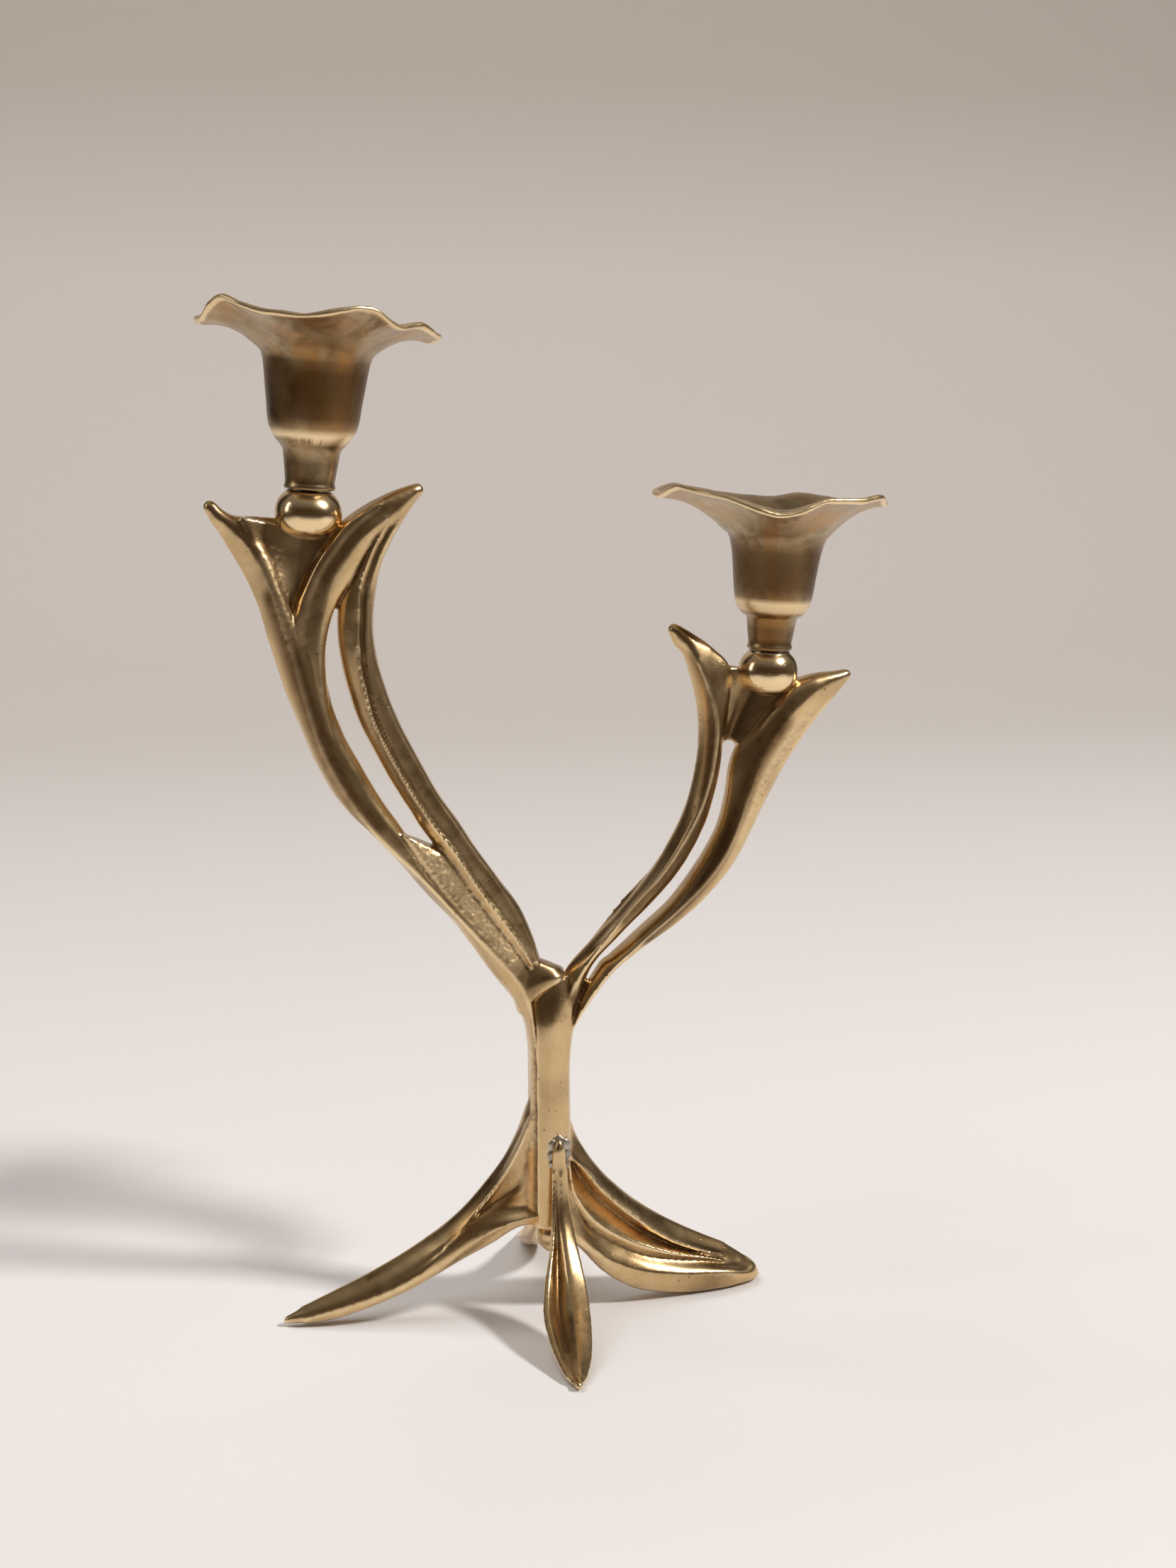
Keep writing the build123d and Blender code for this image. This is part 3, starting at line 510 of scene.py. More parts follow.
def near_lines(points, places):
    """1 on the middle line of each place, falling to 0 at its edges."""
    amount = np.zeros(len(points))
    for line, spread in places:
        path = line_points(line, 0, 60) * MM + np.array(TRUNK)
        tree = kdtree.KDTree(len(path))
        for i, p in enumerate(path):
            tree.insert(p, i)
        tree.balance()
        gap = np.array([tree.find(p)[2] for p in points]) / (spread * MM)
        amount = np.maximum(amount, np.clip(1.4 - 1.4 * gap, 0, 1))
    return amount


def set_attribute(mesh, name, values):
    """A number for each point, for the finish to read."""
    layer = mesh.attributes.get(name) or mesh.attributes.new(name, "FLOAT", "POINT")
    layer.data.foreach_set("value", np.asarray(values, np.float32))


WIDE_LUMP, FINE_LUMP = 9.0, 1.9  # sizes of the skin's unevenness, in millimetres
WIDE_RISE, FINE_RISE, HAMMER_RISE = 0.09, 0.01, 0.12  # and how far it moves the skin


def finish_casting(obj, name, seed, hammer=HAMMER_RISE):
    """Works the skin by hand: hammered places, small unevenness, then what the finish reads."""
    mesh = obj.data
    at = positions(mesh)
    rough = near_lines(at, ROUGH_PLACES.get(name, []))
    wide = lumps(at, WIDE_LUMP * MM, seed)
    fine = lumps(at, FINE_LUMP * MM, seed + 5)
    move = WIDE_RISE * wide + FINE_RISE * fine + rough * hammer * fine
    set_positions(mesh, at + normals(mesh) * (move * MM)[:, None])
    set_attribute(mesh, "rough", rough)
    set_attribute(mesh, "painted_warm_reflection", near_lines(at, PAINTED_WARM_REFLECTION_PLACES.get(name, [])))
    set_attribute(mesh, "brown", near_lines(at, BROWN_TARNISH_AND_PAINTED_DARK_PLACES.get(name, [])))
    set_attribute(mesh, "standing", relief(mesh, 14))
    set_attribute(mesh, "broad", relief(mesh, 60))
    smooth_faces(mesh)


def casting(name, bodies, ends, grain, seed):
    """One cast piece from its ring bodies and the rounded ends of its tips."""
    bm = bmesh.new()
    for lines, both_sides, shaping in bodies:
        add_ring_body(bm, ring_lines(lines, both_sides), **shaping)
    for end in ends:
        add_ball(bm, *end)
    obj = new_object(name + "_casting", bm)
    fuse(obj, grain, 4)
    soften_ends(obj.data, ends)
    keep_above_floor(obj)
    finish_casting(obj, name, seed)
    keep_above_floor(obj)
    return obj


def keep_above_floor(obj):
    """Flattens whatever would reach below the table top, as the ground feet are."""
    at = positions(obj.data)
    at[:, 2] = np.maximum(at[:, 2], 0.0)
    set_positions(obj.data, at)


def place(obj, node, body, material):
    """Stands a finished piece in for its CAD node."""
    obj.data.materials.clear()
    obj.data.materials.append(material)
    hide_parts(node)
    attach(obj, body)


# ---------------------------------------------------------------- turned pieces


def joint(name):
    return next(j for j in frame["joints"] if j["name"] == name)


def seat_of(side):
    """The cup's seat on its bud, with +Z along the cup's lean."""
    turn = joint(side + "_cup_turn")
    along = Vector(turn["axis"]).normalized()
    across = (Vector((1, 0, 0)) - along * along.x).normalized()
    back = along.cross(across)
    spot = Matrix((across, back, along)).transposed().to_4x4()
    spot.translation = Vector(turn["pos_m"])
    return spot


def turned(bm, rings, spot, around):
    """A closed skin through rings of (radius, height) that may vary with the angle, in millimetres."""
    rows = []
    for ring in rings:
        row = []
        for k in range(around):
            angle = 2 * math.pi * k / around
            radius, height = ring(angle) if callable(ring) else ring
            local = Vector((radius * math.cos(angle), radius * math.sin(angle), height)) * MM
            row.append(bm.verts.new(spot @ local))
        rows.append(row)
    for low, high in zip(rows, rows[1:]):
        for k in range(around):
            j = (k + 1) % around
            bm.faces.new((low[k], low[j], high[j], high[k]))
    bm.faces.new(rows[0][::-1])
    bm.faces.new(rows[-1])


# Millimetres up from the seat. The profile is (radius, height) up the outside, and the rim is (angle
# in degrees, height) round the petals' edge, which is hammered by hand.
CUP_SHAPES = {
    "left": dict(
        shoulder=11.8, body=18.4, flare=39.0, petal=288, sway=-0.7, seed=3, joined=0.22,
        profile=((7.6, 2.2), (7.8, 4), (8.3, 8), (8.8, 11.8), (9.4, 12.8), (11.0, 14.6), (12.3, 16.4),
                 (13.3, 18.4), (13.8, 20.2), (14.1, 22), (14.6, 26.4), (15.2, 31), (15.7, 35), (16.3, 38.6),
                 (16.9, 40.6)),
        rim=((0, 49), (14, 47.5), (32, 50), (45, 50), (72, 55), (100, 51), (125, 49.5), (144, 51), (165, 48),
             (180, 49.5), (196, 49.5), (217, 56.8), (228, 54.5), (238, 53), (260, 52.5), (271, 54), (283, 56),
             (292, 55.5), (299, 52.5), (306, 51), (326, 52.5), (341, 50))),
    "right": dict(
        shoulder=10.2, body=17.0, flare=34.5, petal=90, sway=-2.7, seed=8, joined=0.2,
        profile=((6.9, 2.2), (7.2, 4), (7.6, 7), (8.0, 10), (8.6, 10.7), (9.8, 11.3), (11.2, 13),
                 (12.2, 15.4), (12.5, 17.2), (12.7, 18.6), (12.9, 20.5), (13.3, 24), (13.8, 28),
                 (14.3, 31.4), (15.0, 34.4), (15.8, 36.2)),
        rim=((0, 48.5), (25, 47), (49, 48), (66, 48.5), (80, 46), (100, 46.5), (116, 48), (140, 50),
             (160, 48.5), (180, 48), (198, 52), (217, 51), (231, 50), (243, 47.5), (255, 45.5), (265, 47),
             (278, 51), (300, 51), (312, 52), (322, 52), (332, 50), (345, 49))),
}
PETALS = 5
THROAT_R = 12.6
RIM_R = 37.0
WALL = 2.0
SOCKET_R = 11.2
STUD_HOLE_R = 3.05
STUD_HOLE_END = 13.5


def rim_heights(shape):
    """Height of the petal edge at every half degree, from the heights it is hammered to."""
    degrees = np.arange(0, 360, 0.5)
    given = np.array(shape["rim"] + ((360, shape["rim"][0][1]),))
    heights = np.interp(degrees, given[:, 0], given[:, 1])
    for _ in range(40):
        heights = 0.5 * heights + 0.25 * (np.roll(heights, 1) + np.roll(heights, -1))
    return heights


def petal_top(shape, share, angle):
    """Radius and height of the petals' upper face."""
    degrees = math.degrees(angle)
    wave = math.cos(math.radians(PETALS * (degrees - shape["petal"])))
    frill = noise.noise(Vector((math.cos(angle) * 2.2, math.sin(angle) * 2.2, shape["seed"])))
    ripple = noise.noise(Vector((math.cos(angle) * 6.5, math.sin(angle) * 6.5, shape["seed"] + 4)))
    radius = THROAT_R + (RIM_R - THROAT_R) * share
    radius += (0.8 * wave - 0.6 + 0.9 * frill + 0.5 * ripple) * share**2
    radius += shape["sway"] * share * math.cos(angle)
    heights = shape["heights"]
    usual = float(heights.mean())
    here = float(heights[round(degrees * 2) % len(heights)])
    rise = (usual - shape["flare"]) * (1 - (1 - share) ** 2.2) + (here - usual) * share**1.9
    return radius, shape["flare"] + rise


def flower_cup(side):
    """A trumpet flower turned from brass: neck, shoulder, body, curled petals and candle socket."""
    shape = dict(CUP_SHAPES[side])
    shape["heights"] = rim_heights(shape)
    shoulder, body, flare = shape["shoulder"], shape["body"], shape["flare"]
    neck = shape["profile"][0][0]
    outer = [(0.4, STUD_HOLE_END), (STUD_HOLE_R, STUD_HOLE_END), (STUD_HOLE_R, 0.2), (6.2, 0), (neck, 0),
             (neck + 0.25, 0.4), (neck + 0.35, 0.9), (neck + 0.1, 1.6), *shape["profile"]]

    def outside(share):
        def ring(angle):
            radius, height = petal_top(shape, share, angle)
            return radius, height - WALL * (1.3 - 0.45 * share)
        return ring

    def lip(turn):
        def ring(angle):
            radius, height = petal_top(shape, 1.0, angle)
            half = WALL * 0.425
            return radius + half * math.sin(turn) * 0.9, height - half - half * math.cos(turn)
        return ring

    def inside(share):
        return lambda angle: petal_top(shape, share, angle)

    rings = list(outer)
    rings += [outside(shape["joined"] + (1 - shape["joined"]) * s / 20) for s in range(0, 20)]
    rings += [lip(math.pi * t / 6) for t in range(0, 7)]
    rings += [inside(s / 26) for s in range(25, -1, -1)]
    rings += [(SOCKET_R + 0.7, flare - 0.2), (SOCKET_R + 0.1, flare - 1.2), (SOCKET_R, flare - 4),
              (SOCKET_R, body + 8), (SOCKET_R, body + 0.4), (SOCKET_R - 0.6, body), (0.4, body)]
    bm = bmesh.new()
    turned(bm, rings, seat_of(side), 300)
    obj = new_object(side + "_flower_cup", bm)
    mesh = obj.data
    spot = seat_of(side).inverted()
    local = np.array([spot @ Vector(p) for p in positions(mesh)]) / MM
    height = local[:, 2]
    radius = np.hypot(local[:, 0], local[:, 1])
    petal_zone = np.clip((radius - 17) / 6, 0, 1)
    dents = (0.06 + 0.20 * petal_zone) * lumps(positions(mesh), 6 * MM, shape["seed"])
    set_positions(mesh, positions(mesh) + normals(mesh) * (dents * MM)[:, None])
    reach = np.array([petal_top(shape, 1.0, math.atan2(y, x))[0] for x, y in local[:, :2]])
    edge = np.clip(1 - (reach - radius) / 1.3, 0, 1)
    # The band round the shoulder is a painted highlight, the light band that the shoulder's conical facet
    # shows.
    band = np.exp(-(((height - (shoulder + 4.2)) / 2.2) ** 2)) * (radius < 15.5) * (radius > 11.0)
    bead = np.exp(-(((height - 1.3) / 0.9) ** 2)) * (radius < 9.5) * (radius > 6)
    set_attribute(mesh, "standing", 0.55 * edge + 0.34 * band + 0.18 * bead)
    waist = np.exp(-(((height - shoulder * 0.55) / 3.4) ** 2)) * (radius < 9)
    barrel = np.clip((height - body) / 4, 0, 1) * np.clip((flare + 2 - height) / 5, 0, 1)
    set_attribute(mesh, "broad", 0.4 * edge - 0.5 * waist)
    set_attribute(mesh, "rough", 0.4 * petal_zone)
    set_attribute(mesh, "brown", 0.75 * barrel)
    smooth_faces(mesh)
    return obj


BUD_GIRTHS = {"left": 9.8, "right": 9.0}
BUD_DEPTH = 7.1  # the bud's middle, below the seat
BUD_TALL = 8.1
BUD_HOLE_END = -9.8
BUD_STEPS = 26


def bud_ball(side, seed):
    """The bud: a polished, slightly lumpy ball with a flat top where the neck beds."""
    bm = bmesh.new()
    rings = [(0.3, BUD_HOLE_END), (STUD_HOLE_R, BUD_HOLE_END), (STUD_HOLE_R, -0.6), (5.6, -0.45), (6.6, -0.5)]
    for i in range(BUD_STEPS + 1):
        angle = math.radians(52 - 128 * i / BUD_STEPS)
        squat = 1 if angle > 0 else 0.98
        radius = 0.6 + BUD_GIRTHS[side] * math.cos(angle) ** 0.9
        rings.append((radius, -BUD_DEPTH + BUD_TALL * math.sin(angle) * squat))
    rings += [(3.0, -15.1), (0.3, -15.2)]
    turned(bm, rings, seat_of(side), 96)
    obj = new_object(side + "_bud_ball", bm)
    mesh = obj.data
    bulge = 0.16 * lumps(positions(mesh), WIDE_LUMP * MM, seed)
    set_positions(mesh, positions(mesh) + normals(mesh) * (bulge * MM)[:, None])
    local = np.array([seat_of(side).inverted() @ Vector(p) for p in positions(mesh)]) / MM
    foot = np.clip((-local[:, 2] - 11.5) / 2.5, 0, 1)
    # Painted shade: the top of the bud, where the cup's neck beds, is darkened as the shadow in the gap
    # between the two parts.
    painted_neck_shade = np.clip((local[:, 2] + 1.6) / 1.2, 0, 1)
    set_attribute(mesh, "standing", 0.25 - 0.6 * foot - 0.5 * painted_neck_shade)
    set_attribute(mesh, "broad", -0.5 * foot - 0.4 * painted_neck_shade)
    set_attribute(mesh, "rough", 0.1 * foot)
    smooth_faces(mesh)
    return obj


def plain_skin(mesh):
    """Marks a skin with neither relief nor rough places."""
    for name in ("standing", "broad", "rough"):
        set_attribute(mesh, name, np.zeros(len(mesh.vertices)))


def threaded_stud(side):
    """The steel stud, with a cut thread that runs its whole length."""
    bm = bmesh.new()
    low, high, steps = -9.0, 12.5, 172
    root_r, crest_rise, end_r = 2.48, 0.5, 2.2

    def ring_at(height, fade):
        def ring(angle):
            phase = (height + angle / (2 * math.pi)) % 1.0
            crest = 1 - abs(2 * phase - 1)
            return root_r + fade * crest_rise * min(1, crest * 1.25), height
        return ring

    rings = [(0.2, low), (end_r, low)]
    for i in range(steps + 1):
        height = low + 0.25 + (high - low - 0.5) * i / steps
        fade = min(1, i / 6, (steps - i) / 6)
        rings.append(ring_at(height, fade))
    rings += [(end_r, high), (0.2, high)]
    turned(bm, rings, seat_of(side), 40)
    obj = new_object(side + "_threaded_stud", bm)
    smooth_faces(obj.data)
    plain_skin(obj.data)
    return obj


def screw_under_trunk():
    """The domed screw: head, driving slot and shank."""
    low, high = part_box("base_screw")
    mid = TRUNK + Vector((0, 0, low.z))
    tall = (high.z - low.z) / MM
    slot_size = (16 * MM, 1.3 * MM, 3.2 * MM)
    bm = bmesh.new()
    rings = [(0.2, 0.05), (1.6, 0.2), (3.2, 0.9), (4.6, 2.2), (5.6, 3.9), (6.2, 5.6), (6.35, 6.6), (6.2, 7.8),
             (5.7, 9.2), (5.3, 9.9), (3.0, 10), (3.0, 12), (2.98, tall - 0.8), (2.4, tall), (0.2, tall)]
    turned(bm, rings, Matrix.Translation(mid), 72)
    obj = new_object("domed_base_screw", bm)
    cutter = bmesh.new()
    bmesh.ops.create_cube(cutter, size=1)
    bmesh.ops.scale(cutter, vec=slot_size, verts=cutter.verts)
    bmesh.ops.translate(cutter, vec=mid, verts=cutter.verts)
    slot = new_object("slot_cutter", cutter)
    cut = obj.modifiers.new("slot", "BOOLEAN")
    cut.operation = "DIFFERENCE"
    cut.object = slot
    bake_modifiers(obj)
    bpy.data.objects.remove(slot)
    plain_skin(obj.data)
    smooth = obj.modifiers.new("creases", "BEVEL")
    smooth.width = 0.2 * MM
    smooth.segments = 2
    smooth.limit_method = "ANGLE"
    bake_modifiers(obj)
    smooth_faces(obj.data)
    return obj


def solder_bead(name, facing, seed):
    """Silver solder run round a foot's head: a few blobs melted together."""
    bm = bmesh.new()
    for u, v, z, size in SOLDER_BLOBS:
        spot = Matrix.Translation(Vector((u * facing * -1, v * facing, z)) * MM + TRUNK)
        grow = Matrix.Diagonal((1.0, 0.5, 1.15, 1.0))
        bmesh.ops.create_icosphere(bm, subdivisions=3, radius=size * MM, matrix=spot @ grow)
    obj = new_object(name, bm)
    fuse(obj, 0.32 * MM, 3)
    finish_casting(obj, name, seed, hammer=0)
    return obj


# ---------------------------------------------------------------- finishes


def node(tree, kind, inputs=(), **settings):
    made = tree.nodes.new(kind)
    for key, value in settings.items():
        setattr(made, key, value)
    for key, value in dict(inputs).items():
        if isinstance(value, bpy.types.NodeSocket):
            tree.links.new(value, made.inputs[key])
        else:
            made.inputs[key].default_value = value
    return made


def blank_material(name, metallic):
    material = bpy.data.materials.new(name)
    material.use_nodes = True
    tree = material.node_tree
    shader = next(n for n in tree.nodes if n.type == "BSDF_PRINCIPLED")
    shader.inputs["Metallic"].default_value = metallic
    return material, tree, shader


def mapped(tree, value, low, high, to_low=0.0, to_high=1.0):
    """A number moved from one range to another, kept inside it."""
    made = node(tree, "ShaderNodeMapRange", {0: value, 1: low, 2: high, 3: to_low, 4: to_high})
    return made.outputs[0]


def mixed(tree, factor, first, second):
    """One colour laid over another."""
    made = node(tree, "ShaderNodeMix", {0: factor, 6: first, 7: second}, data_type="RGBA")
    return made.outputs[2]


def maths(tree, kind, first, second):
    made = node(tree, "ShaderNodeMath", {0: first, 1: second}, operation=kind)
    return made.outputs[0]


def attribute(tree, name):
    return node(tree, "ShaderNodeAttribute", attribute_name=name).outputs["Fac"]


def object_place(tree):
    return node(tree, "ShaderNodeTexCoord").outputs["Object"]


def noise_at(tree, where, scale, detail, **more):
    """Soft noise, its grain set by the scale, with more of the texture's sockets by name."""
    sockets = {"Vector": where, "Scale": scale, "Detail": detail, **more}
    return node(tree, "ShaderNodeTexNoise", sockets).outputs[0]


def cells_at(tree, where, scale, **settings):
    """Distance to the nearest of the points scattered through the surface."""
    made = node(tree, "ShaderNodeTexVoronoi", {"Vector": where, "Scale": scale}, **settings)
    return made.outputs["Distance"]


def bumped(tree, shader, strength, distance, height):
    """Lays a fine relief on the shader. The distance is in metres."""
    bump = node(tree, "ShaderNodeBump", {"Strength": strength, "Distance": distance, "Height": height})
    tree.links.new(bump.outputs[0], shader.inputs["Normal"])


def rgba(colour):
    return (*colour, 1.0)


def aged_brass(name, bright, body, patina, amount, gloss, speckle=1.0, painted_warm_reflection=None, streaks_and_painted_sheen=None):
    """Lacquered brass with worn gold edges, brown or olive hollows, soft cloudy stains, pits and fine
    scratches. amount is how much patina lies on the open faces, gloss the roughness where polished."""
    material, tree, shader = blank_material(name, 1.0)
    where = object_place(tree)
    cloud = noise_at(tree, where, 30, 3, Roughness=0.5, Distortion=0.3)
    stain = noise_at(tree, where, 110, 5, Roughness=0.6, Distortion=0.6)
    grain = noise_at(tree, where, 900, 3, Roughness=0.6)
    pits = cells_at(tree, where, 420)
    dimples = cells_at(tree, where, 700, feature="SMOOTH_F1")
    standing, broad, rough = (attribute(tree, key) for key in ("standing", "broad", "rough"))

    hollow = mapped(tree, standing, -0.03, -0.26)
    hollow_wide = mapped(tree, broad, -0.1, -0.9)
    worn = mapped(tree, standing, 0.08, 0.30)
    cloudy = mapped(tree, cloud, 0.70 - 0.3 * amount, 1.05 - 0.3 * amount)
    dark_a = maths(tree, "MULTIPLY", cloudy, mapped(tree, stain, 0.3, 0.7, 0.75, 1.0))
    dark_b = maths(tree, "MULTIPLY", hollow, mapped(tree, stain, 0.3, 0.6, 0.75, 1.0))
    dark_c = maths(tree, "MULTIPLY", hollow_wide, mapped(tree, stain, 0.3, 0.7, 0.6, 0.85))
    dark = maths(tree, "MAXIMUM", maths(tree, "MAXIMUM", dark_a, dark_b), dark_c)
    dark = maths(tree, "MULTIPLY", dark, mapped(tree, worn, 0, 1, 1, 0.1))
    dark = maths(tree, "MULTIPLY", dark, mapped(tree, rough, 0, 1, 1, 0.35))
    # Brown places: dark tarnish, and on the stems' front faces also a painted dark reflection of the room.
    placed = maths(tree, "MULTIPLY", attribute(tree, "brown"), mapped(tree, stain, 0.3, 0.6, 0.7, 0.95))
    dark = maths(tree, "MAXIMUM", dark, placed)
    cluster = mapped(tree, cloud, 0.45, 0.65, 0, speckle)
    dots = maths(tree, "MULTIPLY", mapped(tree, pits, 0.16, 0.06), cluster)

    tone = mixed(tree, mapped(tree, stain, 0.35, 0.7, 0, 0.5), rgba(body), rgba([0.9 * c for c in bright]))
    # Vertical streaks: brushed lines in the brass, and also painted sheen, the soft vertical highlights down
    # the cups' bodies.
    if streaks_and_painted_sheen is not None:
        drawn = node(tree, "ShaderNodeMapping", {"Vector": where, "Scale": (95, 95, 9)}).outputs[0]
        band = noise_at(tree, drawn, 1.0, 2)
        tone = mixed(tree, mapped(tree, band, 0.42, 0.62), tone, rgba(streaks_and_painted_sheen))
    tone = mixed(tree, maths(tree, "MULTIPLY", rough, 0.55), tone, rgba(bright))
    # Amber is painted warm reflection: the orange glow that neighbouring brass throws into the leaf hollows.
    if painted_warm_reflection is not None:
        warm = maths(tree, "MULTIPLY", attribute(tree, "painted_warm_reflection"), mapped(tree, stain, 0.3, 0.55, 0.35, 0.8))
        tone = mixed(tree, warm, tone, rgba(painted_warm_reflection))
    tone = mixed(tree, dark, tone, rgba(patina))
    tone = mixed(tree, worn, tone, rgba(bright))
    tone = mixed(tree, dots, tone, rgba([0.4 * c for c in patina]))
    tree.links.new(tone, shader.inputs["Base Color"])

    haze = mapped(tree, stain, 0.25, 0.75, gloss, gloss + 0.1)
    haze = maths(tree, "ADD", haze, maths(tree, "MULTIPLY", dark, 0.12))
    haze = maths(tree, "ADD", haze, maths(tree, "MULTIPLY", rough, 0.14))
    tree.links.new(haze, shader.inputs["Roughness"])
    shader.inputs["Coat Weight"].default_value = 0.2
    shader.inputs["Coat Roughness"].default_value = 0.18

    combed = node(tree, "ShaderNodeMapping", {"Vector": where, "Scale": (900, 900, 70)}).outputs[0]
    scratch = noise_at(tree, combed, 1.0, 2)
    height = maths(tree, "MULTIPLY", grain, 0.16)
    height = maths(tree, "ADD", height, maths(tree, "MULTIPLY", scratch, 0.12))
    height = maths(tree, "ADD", height, maths(tree, "MULTIPLY", stain, 0.3))
    height = maths(tree, "SUBTRACT", height, maths(tree, "MULTIPLY", dots, 0.8))
    height = maths(tree, "ADD", height, maths(tree, "MULTIPLY", maths(tree, "MULTIPLY", dimples, rough), 2.2))
    bumped(tree, shader, 0.45, 0.2 * MM, height)
    return material


def stud_steel():
    """Plated steel with oily dark patches."""
    clean, grimy = (0.50, 0.49, 0.46), (0.20, 0.17, 0.13)
    material, tree, shader = blank_material("threaded_steel", 1.0)
    where = object_place(tree)
    grime = noise_at(tree, where, 300, 5)
    tone = mixed(tree, mapped(tree, grime, 0.45, 0.65), rgba(clean), rgba(grimy))
    tree.links.new(tone, shader.inputs["Base Color"])
    tree.links.new(mapped(tree, grime, 0.3, 0.7, 0.28, 0.5), shader.inputs["Roughness"])
    bumped(tree, shader, 0.3, 0.1 * MM, noise_at(tree, where, 1600, 2))
    return material


def silver_solder():
    """Dull silver, wrinkled where it froze, yellowed in patches."""
    silver, yellowed = (0.52, 0.49, 0.42), (0.30, 0.25, 0.16)
    material, tree, shader = blank_material("silver_solder", 1.0)
    where = object_place(tree)
    cloud = noise_at(tree, where, 210, 5)
    fine = noise_at(tree, where, 900, 3, Distortion=1)
    tone = mixed(tree, mapped(tree, cloud, 0.42, 0.62), rgba(silver), rgba(yellowed))
    tree.links.new(tone, shader.inputs["Base Color"])
    tree.links.new(mapped(tree, cloud, 0.3, 0.7, 0.3, 0.55), shader.inputs["Roughness"])
    bumped(tree, shader, 0.5, 0.3 * MM, maths(tree, "ADD", cloud, maths(tree, "MULTIPLY", fine, 0.5)))
    return material


def studio_paper(near, far):
    """Matt paper with painted shade: it darkens up the backdrop, far in front and far to the sides."""
    painted_shade = (0.05, 0.038, 0.03)
    material, tree, shader = blank_material("studio_paper", 0.0)
    where = object_place(tree)
    parts = node(tree, "ShaderNodeSeparateXYZ", {0: where})
    # Painted shade: the one sheet darkens towards and up the backdrop as the light falls off, and goes near
    # black far in front and to the sides for the metal to mirror as a dark room.
    up = mapped(tree, parts.outputs[2], 0.0, 0.55)
    aside = maths(tree, "ABSOLUTE", parts.outputs[0], 0)
    aside = maths(tree, "SUBTRACT", aside, mapped(tree, parts.outputs[1], 0, 1.5, 0, 0.6))
    front = maths(tree, "MAXIMUM", mapped(tree, parts.outputs[1], -0.42, -1.0), mapped(tree, aside, 0.5, 1.2))
    back = mapped(tree, parts.outputs[1], 0.1, 1.3, 0, 0.65)
    tone = mixed(tree, maths(tree, "MAXIMUM", back, up), rgba(near), rgba(far))
    tone = mixed(tree, front, tone, rgba(painted_shade))
    tree.links.new(tone, shader.inputs["Base Color"])
    shader.inputs["Roughness"].default_value = 0.85
    bumped(tree, shader, 0.06, 0.2 * MM, noise_at(tree, where, 900, 4))
    return material


# ---------------------------------------------------------------- settings


def grain_setting(name, description, default, finest):
    return bpy.props.FloatProperty(
        name=name, description=description, default=default * MM, min=finest * MM, max=2 * MM,
        precision=5, subtype="DISTANCE", unit="LENGTH")


def colour_setting(name, description, default):
    return bpy.props.FloatVectorProperty(
        name=name, description=description, default=default, size=3, min=0, max=1, subtype="COLOR")


class CastingSettings(bpy.types.PropertyGroup):
    """Sizes that a user may change before building."""

    grain: grain_setting("Casting grain", "Smallest detail kept where cast bodies melt together", 0.54, 0.3)
    small_grain: grain_setting("Foot grain", "Smallest detail kept on the two separate feet", 0.42, 0.2)


class FinishSettings(bpy.types.PropertyGroup):
    """Colours of the brass and of the studio."""

    bright: colour_setting("Worn brass", "Brass that hands and cloths have kept clean", (0.88, 0.68, 0.40))
    body: colour_setting("Brass", "Brass on the open faces", (0.62, 0.43, 0.21))
    patina: colour_setting("Patina", "Brown tarnish in the hollows", (0.125, 0.060, 0.018))
    cup_patina: colour_setting("Cup patina", "Deep brown of the flower cups", (0.16, 0.096, 0.038))
    # Painted warm reflection in the leaf hollows: the glow of neighbouring brass.
    painted_warm_reflection: colour_setting("Amber", "Warm orange tarnish in the leaf hollows", (0.70, 0.38, 0.12))
    paper: colour_setting("Table top", "Pale paper that the piece stands on", (0.79, 0.775, 0.775))
    # The backdrop's darker colour is painted shade: the same sheet of paper as the table top, dimmer as the
    # light falls off.
    backdrop: colour_setting("Backdrop", "Paper behind the piece", (0.50, 0.45, 0.405))


class CANDELABRA_OT_left_branch(bpy.types.Operator):
    """Tall arm with its slotted stem, its strip of trunk and the left leg"""

    bl_idname = "candelabra.left_branch"
    bl_label = "Tall branch"

    def execute(self, context):
        sizes, finish = context.scene.candelabra_sizes, context.scene.candelabra_finish
        bodies = [(TRUNK_STRIP, False, dict(tip=0.3, fade=0.3)), (TALL_ROOT, False, dict(root=0.5)),
                  (TALL_STEM, True, {}), (TALL_RIGHT_PRONG, True, dict(root=0.6)),
                  (TALL_INNER_STEM, True, {}), (TALL_WEB, False, dict(tip=1.0)),
                  (TALL_CALYX, False, dict(tip=1.0)), (LEFT_LEG, False, {})]
        obj = casting("left_branch", bodies, TALL_TIPS, sizes.grain, 11)
        brass = aged_brass("tall_branch_brass", finish.bright, finish.body, finish.patina, 0.75, 0.23,
                           painted_warm_reflection=finish.painted_warm_reflection)
        place(obj, "left_branch", ROOT, brass)
        return {"FINISHED"}


